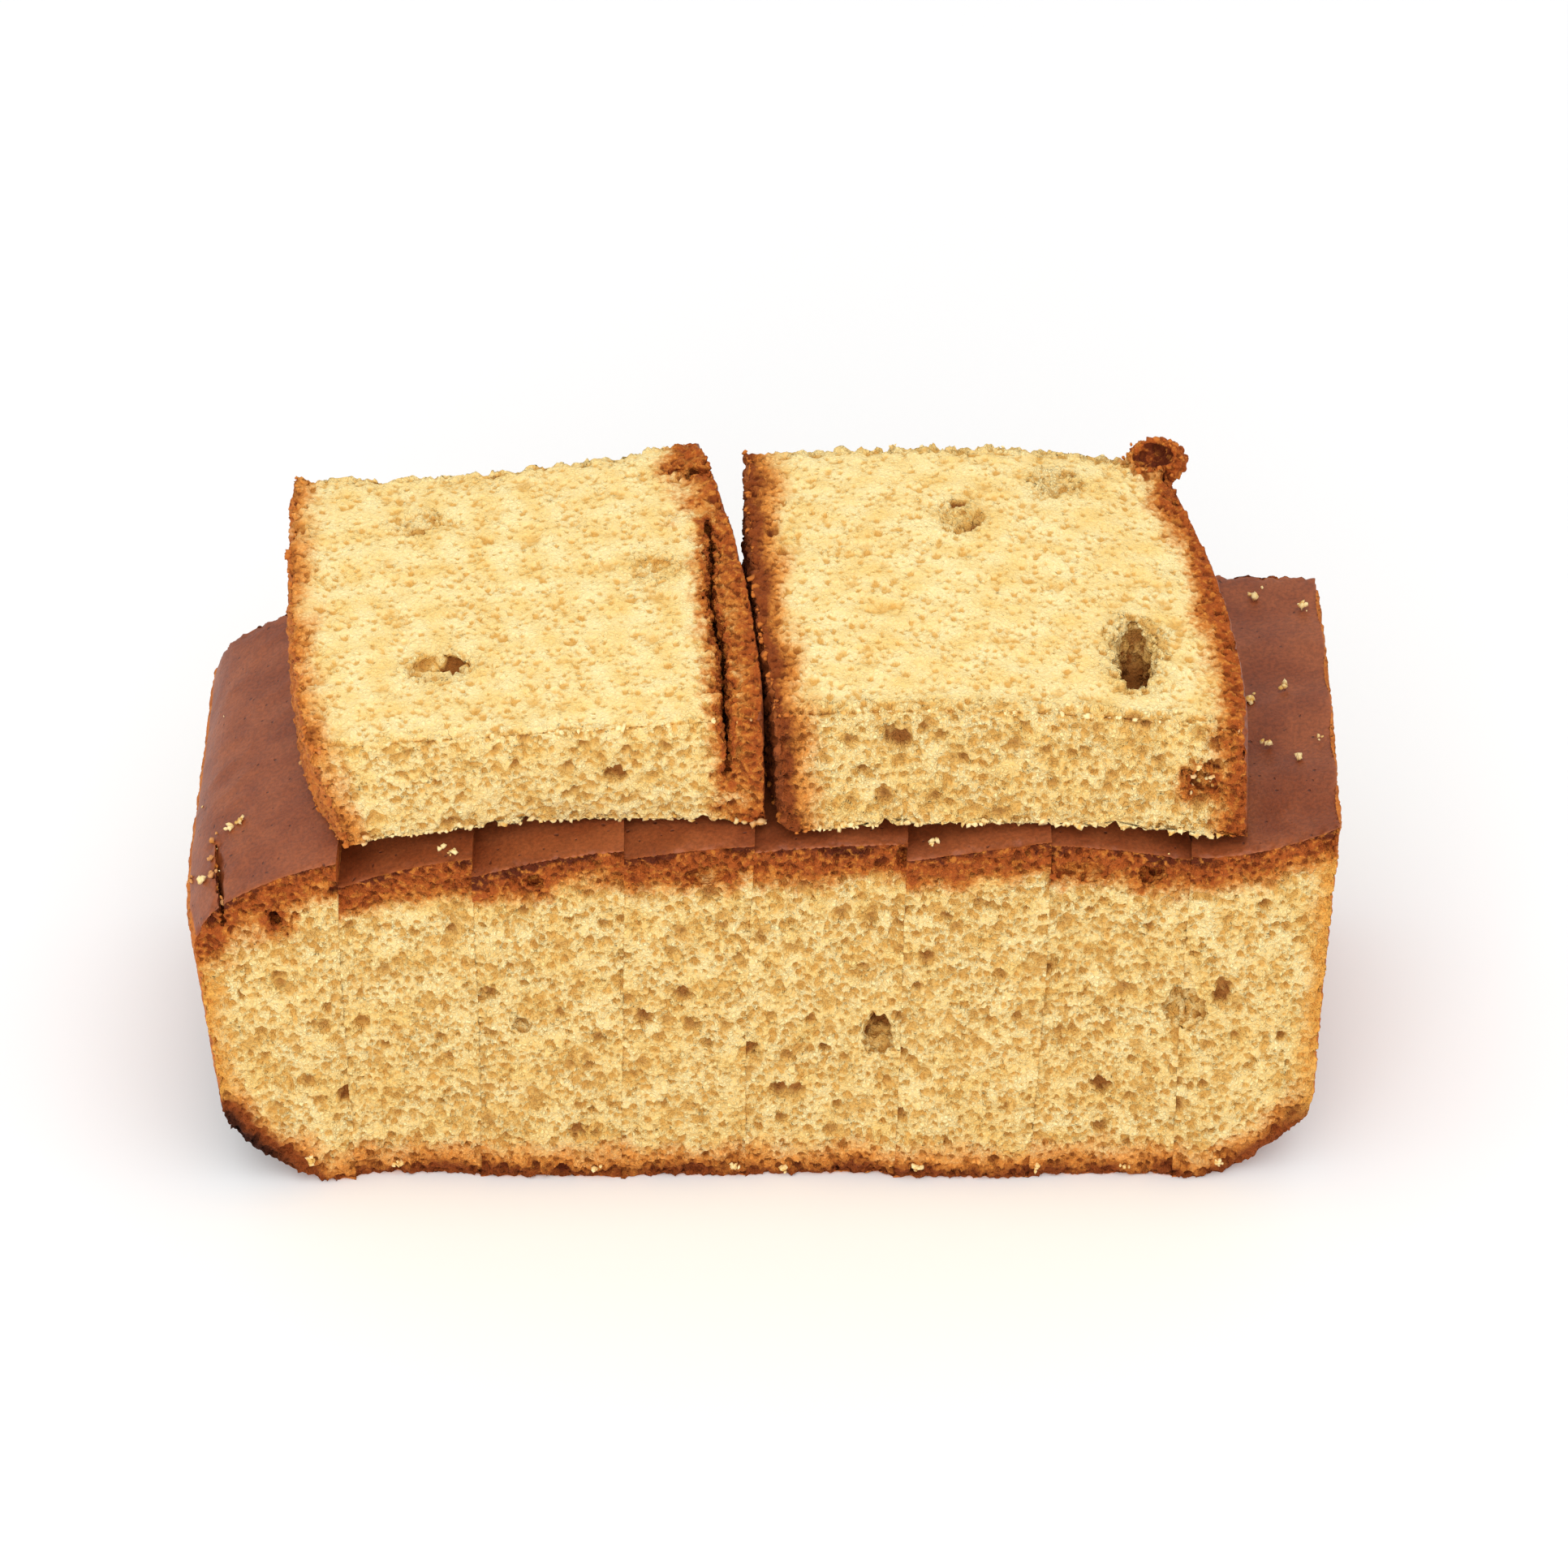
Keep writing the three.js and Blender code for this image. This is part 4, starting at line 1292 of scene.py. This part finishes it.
def build_slice(name, seed):
    dice = np.random.default_rng(seed)
    mesh, kinds, trees = shaped_mesh(name)
    points = read_vectors(mesh.vertices, "co") * PER_MM
    normals = read_vectors(mesh.vertices, "normal")
    touches, areas = point_kinds(mesh, kinds)
    if name not in LYING_SLICES:
        beside = touches[OPEN_CRUMB] & touches[HIDDEN]
        normals[beside] = np.outer(halves(points, Y), (0, 1, 0))[beside]
    numbers = measured_slice(name, points, touches, trees, dice)
    sink, numbers["pore"] = crumb_relief(name, points, touches, areas, numbers, dice)
    moved = points - normals * sink[:, None]
    numbers["crevice"] = crevices(mesh, moved, normals)
    if name in LYING_SLICES:
        moved[:, Z] += ragged_foot(points, touches, dice)
    else:
        seam_gap = gaps_to(points, touches[OPEN_CRUMB] & (numbers["hollow"] == 0.0), touches[HIDDEN])
        # painted shade along each cut, added to the crevice number
        numbers["crevice"] += seam_shade(points, seam_gap, dice)
        moved[:, X] += seam_shift(points, touches, dice)
        moved[:, Y] += seam_levels(name, points, seam_gap, numbers["under_skin"])
    for key, values in numbers.items():
        store(mesh, key, values)
    mesh.vertices.foreach_set("co", (moved * MM).astype(np.float32).ravel())
    mesh.update()

    piece = placed("sponge_" + name, mesh)
    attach(piece, "root")
    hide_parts(name)
    deepest = round(float(numbers["pore"].max()), 2)
    print(piece.name, len(mesh.polygons), "triangles, deepest pit", deepest, "mm")
    return edge_points(moved, normals, touches, numbers)


slice_edges = {}
for number, slice_name in enumerate(sorted(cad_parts)):
    slice_edges[slice_name] = build_slice(slice_name, FIRST_SEED + number)

# %% [markdown]
# Cutting sponge leaves crumbs: clumps on the skin, grains that hang from the lower edges of the lying
# slices, and a few stuck along the foot of the bar. There are hundreds, so each grain is a small ball of
# few faces, and all of them are one mesh. The ball comes from an operator; arrays then turn, squeeze and
# place its copies at once.

# %% Grain shape
GRAIN_UNEVEN = 0.30
GRAIN_SQUEEZE = (0.55, 1.20)

ball = bmesh.new()
bmesh.ops.create_icosphere(ball, subdivisions=1, radius=1.0)
BALL_POINTS = np.array([vert.co for vert in ball.verts])
BALL_FACES = np.array([[vert.index for vert in face.verts] for face in ball.faces])
ball.free()


def random_turns(count, dice):
    """Random rotation matrices, from random quaternions."""
    four = dice.standard_normal((4, count))
    w, x, y, z = four / np.linalg.norm(four, axis=0)
    rows = (
        (1 - 2 * (y * y + z * z), 2 * (x * y - z * w), 2 * (x * z + y * w)),
        (2 * (x * y + z * w), 1 - 2 * (x * x + z * z), 2 * (y * z - x * w)),
        (2 * (x * z - y * w), 2 * (y * z + x * w), 1 - 2 * (x * x + y * y)),
    )
    return np.moveaxis(np.array(rows), -1, 0)


def grain_mesh(places, radii, browned, dice):
    count = len(places)
    uneven = 1.0 + GRAIN_UNEVEN * dice.standard_normal((count, len(BALL_POINTS), 1))
    squeeze = dice.uniform(*GRAIN_SQUEEZE, (count, 1, 3))
    balls = (BALL_POINTS[None] * uneven * squeeze) @ random_turns(count, dice)
    corners = places[:, None] + balls * radii[:, None, None]
    faces = BALL_FACES[None] + (np.arange(count) * len(BALL_POINTS))[:, None, None]
    mesh = bpy.data.meshes.new("loose_crumbs")
    mesh.from_pydata((corners.reshape(-1, 3) * MM).tolist(), [], faces.reshape(-1, 3).tolist())
    store(mesh, "browned", np.repeat(browned, len(BALL_POINTS)))
    mesh.shade_smooth()
    return mesh


print("one grain has", len(BALL_FACES), "faces")

# %% [markdown]
# The grains need places. Clumps lie where the picture shows them. Grains along an edge of a lying slice sit
# on points that chance picks from the finished edge, so none of them floats. Each grain also gets a number
# from 0 to 1 for how brown it is, by its distance to the nearest baked face.

# %% Places for the grains
Clump = namedtuple("Clump", "across down grains")
CLUMPS_SEEN = (
    Clump(285, 1020, 5),
    Clump(298, 1011, 8),
    Clump(250, 1085, 9),
    Clump(1545, 735, 7),
    Clump(1605, 747, 8),
    Clump(1581, 845, 7),
    Clump(1541, 862, 6),
    Clump(1600, 933, 8),
    Clump(1560, 918, 3),
    Clump(1625, 910, 3),
    Clump(1150, 1038, 6),
    Clump(558, 1052, 6),
    Clump(543, 1047, 2),
    Clump(385, 1428, 7),
    Clump(490, 1432, 8),
    Clump(735, 1437, 7),
    Clump(905, 1436, 10),
    Clump(965, 1438, 6),
    Clump(1130, 1437, 9),
    Clump(1275, 1437, 7),
    Clump(1385, 1436, 6),
    Clump(1500, 1432, 9),
)
CRUST_CLUMPS_SEEN = (
    Clump(262, 1034, 4),
    Clump(261, 1058, 5),
    Clump(264, 1076, 4),
    Clump(236, 1083, 4),
    Clump(275, 1110, 4),
)
PALE, HALF_BROWN, BROWN = 0.0, 0.75, 1.0
UPWARD = Vector((0, 0, 1))
CLUMP_STANDS = (0.3, 0.9)
CLUMP_SPREAD_MM = 0.32
CLUMP_GRAIN_MM = (0.22, 0.50)
EDGE_GRAIN_MM = (0.20, 0.60)
EDGE_SUNK = (-0.7, 0.3)
EDGE_SHARE = {"lower": 0.30, "base": 0.32, "upper": 0.12}
BROWN_WITHIN_MM = (2.0, 5.0)
SPECKS_ON_SKIN = 7
SPECK_GRAIN_MM = (0.12, 0.24)
CURL_GRAINS = 14
CRUMB_SEED = 7


def clump_grains(clumps, browned, dice):
    for clump in clumps:
        _, place, normal = seen_at(clump.across, clump.down)
        if place is None:
            continue
        outward = np.array(normal)
        for _ in range(clump.grains):
            radius = dice.uniform(*CLUMP_GRAIN_MM)
            stray = dice.standard_normal(3) * CLUMP_SPREAD_MM
            stray -= outward * stray.dot(outward)
            raised_by = outward * radius * dice.uniform(*CLUMP_STANDS)
            yield np.array(place) * PER_MM + stray + raised_by, radius, browned


def edge_grains(name, dice):
    for edge, (points, normals, baked) in slice_edges[name].items():
        browned = 1.0 - np.clip((baked - BROWN_WITHIN_MM[0]) / np.ptp(BROWN_WITHIN_MM), 0.0, 1.0)
        for index in np.flatnonzero(dice.random(len(points)) < EDGE_SHARE[edge]):
            radius = dice.uniform(*EDGE_GRAIN_MM)
            yield points[index] + normals[index] * radius * dice.uniform(*EDGE_SUNK), radius, browned[index]


def face_grains(name, kind, count, sizes, browned, dice):
    """Grains at random on one kind of face of a slice, where nothing lies over them."""
    shell = copied_solid(name)
    layer = name_faces(shell, hull_round(shell), name)
    faces = [face for face in shell.faces if face[layer] == kind]
    areas = np.array([face.calc_area() for face in faces])
    for index in dice.choice(len(faces), count, p=areas / areas.sum()):
        shares = dice.dirichlet(np.ones(3))
        place = sum((vert.co * share for vert, share in zip(faces[index].verts, shares)), Vector())
        above = place + UPWARD * MM
        covered = any(tree.ray_cast(above, UPWARD)[0] for tree in solid_trees.values())
        if not covered:
            yield np.array(place) * PER_MM, dice.uniform(*sizes), browned
    shell.free()


print("clumps of crumbs seen:", len(CLUMPS_SEEN) + len(CRUST_CLUMPS_SEEN))

# %% [markdown]
# A grain's finish is the crumb's own palette: pale where it came from the middle of the cake, and brown
# where it came from the crust.

# %% Loose crumbs
GRAIN_PALE = screen(253, 230, 170)
GRAIN_BROWN = screen(200, 116, 48)
GRAIN_DARKER = screen(228, 178, 92)
GRAIN_TINT_MM = 1.1
GRAIN_TINT_RANGE = (0.40, 0.70)


def grain_finish():
    finish, tree, shader = new_finish("loose_crumb")
    tint = spread_over(tree, cloudy(tree, GRAIN_TINT_MM), *GRAIN_TINT_RANGE)
    colour = blended(tree, tint, GRAIN_PALE, GRAIN_DARKER)
    colour = blended(tree, stored(tree, "browned"), colour, GRAIN_BROWN)
    relief = raised(tree, cloudy(tree, SPECK_MM), GRAIN_HEIGHT_MM)
    set_surface(tree, shader, colour, relief, CRUMB_ROUGHNESS, CRUMB_SPECULAR)
    return finish


dice = np.random.default_rng(CRUMB_SEED)
grains = list(clump_grains(CLUMPS_SEEN, PALE, dice))
grains += clump_grains(CRUST_CLUMPS_SEEN, HALF_BROWN, dice)
for slice_name in LYING_SLICES:
    grains += edge_grains(slice_name, dice)
grains += face_grains(RIGHT_LYING, CURL, CURL_GRAINS, EDGE_GRAIN_MM, BROWN, dice)
for slice_name in sorted(set(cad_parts) - set(LYING_SLICES)):
    grains += face_grains(slice_name, SKIN, SPECKS_ON_SKIN, SPECK_GRAIN_MM, PALE, dice)
places, radii, browned = (np.array(column) for column in zip(*grains))
crumb_mesh = grain_mesh(places, radii, browned, dice)
crumb_mesh.materials.append(grain_finish())
loose_crumbs = placed("loose_crumbs", crumb_mesh)
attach(loose_crumbs, "root")
print("loose grains:", len(grains))

# %% [markdown]
# The cake stands on a plain white sheet under soft light from a large panel overhead and a weaker one in
# front, with a bright room all round. The sheet and the lights aren't part of the cake.

# %% Floor and light
FLOOR_HALF_M = 3.0
FLOOR_WHITE = (0.95, 0.95, 0.95, 1.0)
FLOOR_ROUGHNESS = 0.9
ROOM_WHITE = (1.0, 1.0, 1.0, 1.0)
ROOM_STRENGTH = 0.82
PANELS = (
    {"name": "overhead_panel", "place": (0.0, -0.35, 1.1), "size": 1.1, "watts": 4.4},
    {"name": "front_panel", "place": (-0.15, -1.0, 0.45), "size": 0.9, "watts": 3.6},
)
LIT_PLACE = Vector((0.0, 0.0, 0.05))

sheet_mesh = bpy.data.meshes.new("floor")
sheet = bmesh.new()
bmesh.ops.create_grid(sheet, x_segments=1, y_segments=1, size=FLOOR_HALF_M)
sheet.to_mesh(sheet_mesh)
sheet.free()
floor = placed("floor", sheet_mesh)
paper, _, paper_shader = new_finish("white_paper")
paper_shader.inputs["Base Color"].default_value = FLOOR_WHITE
paper_shader.inputs["Roughness"].default_value = FLOOR_ROUGHNESS
sheet_mesh.materials.append(paper)

for panel in PANELS:
    lamp = placed(panel["name"], bpy.data.lights.new(panel["name"], "AREA"))
    lamp.data.size = panel["size"]
    lamp.data.energy = panel["watts"]
    lamp.location = panel["place"]
    lamp.rotation_euler = (LIT_PLACE - lamp.location).to_track_quat("-Z", "Y").to_euler()

room = bpy.data.worlds.new("bright_room")
room.use_nodes = True
glow = room.node_tree.nodes["Background"]
glow.inputs["Color"].default_value = ROOM_WHITE
glow.inputs["Strength"].default_value = ROOM_STRENGTH
bpy.context.scene.world = room
bpy.context.scene.view_settings.view_transform = "Standard"
print("lights:", [panel["name"] for panel in PANELS], "and a room of strength", ROOM_STRENGTH)
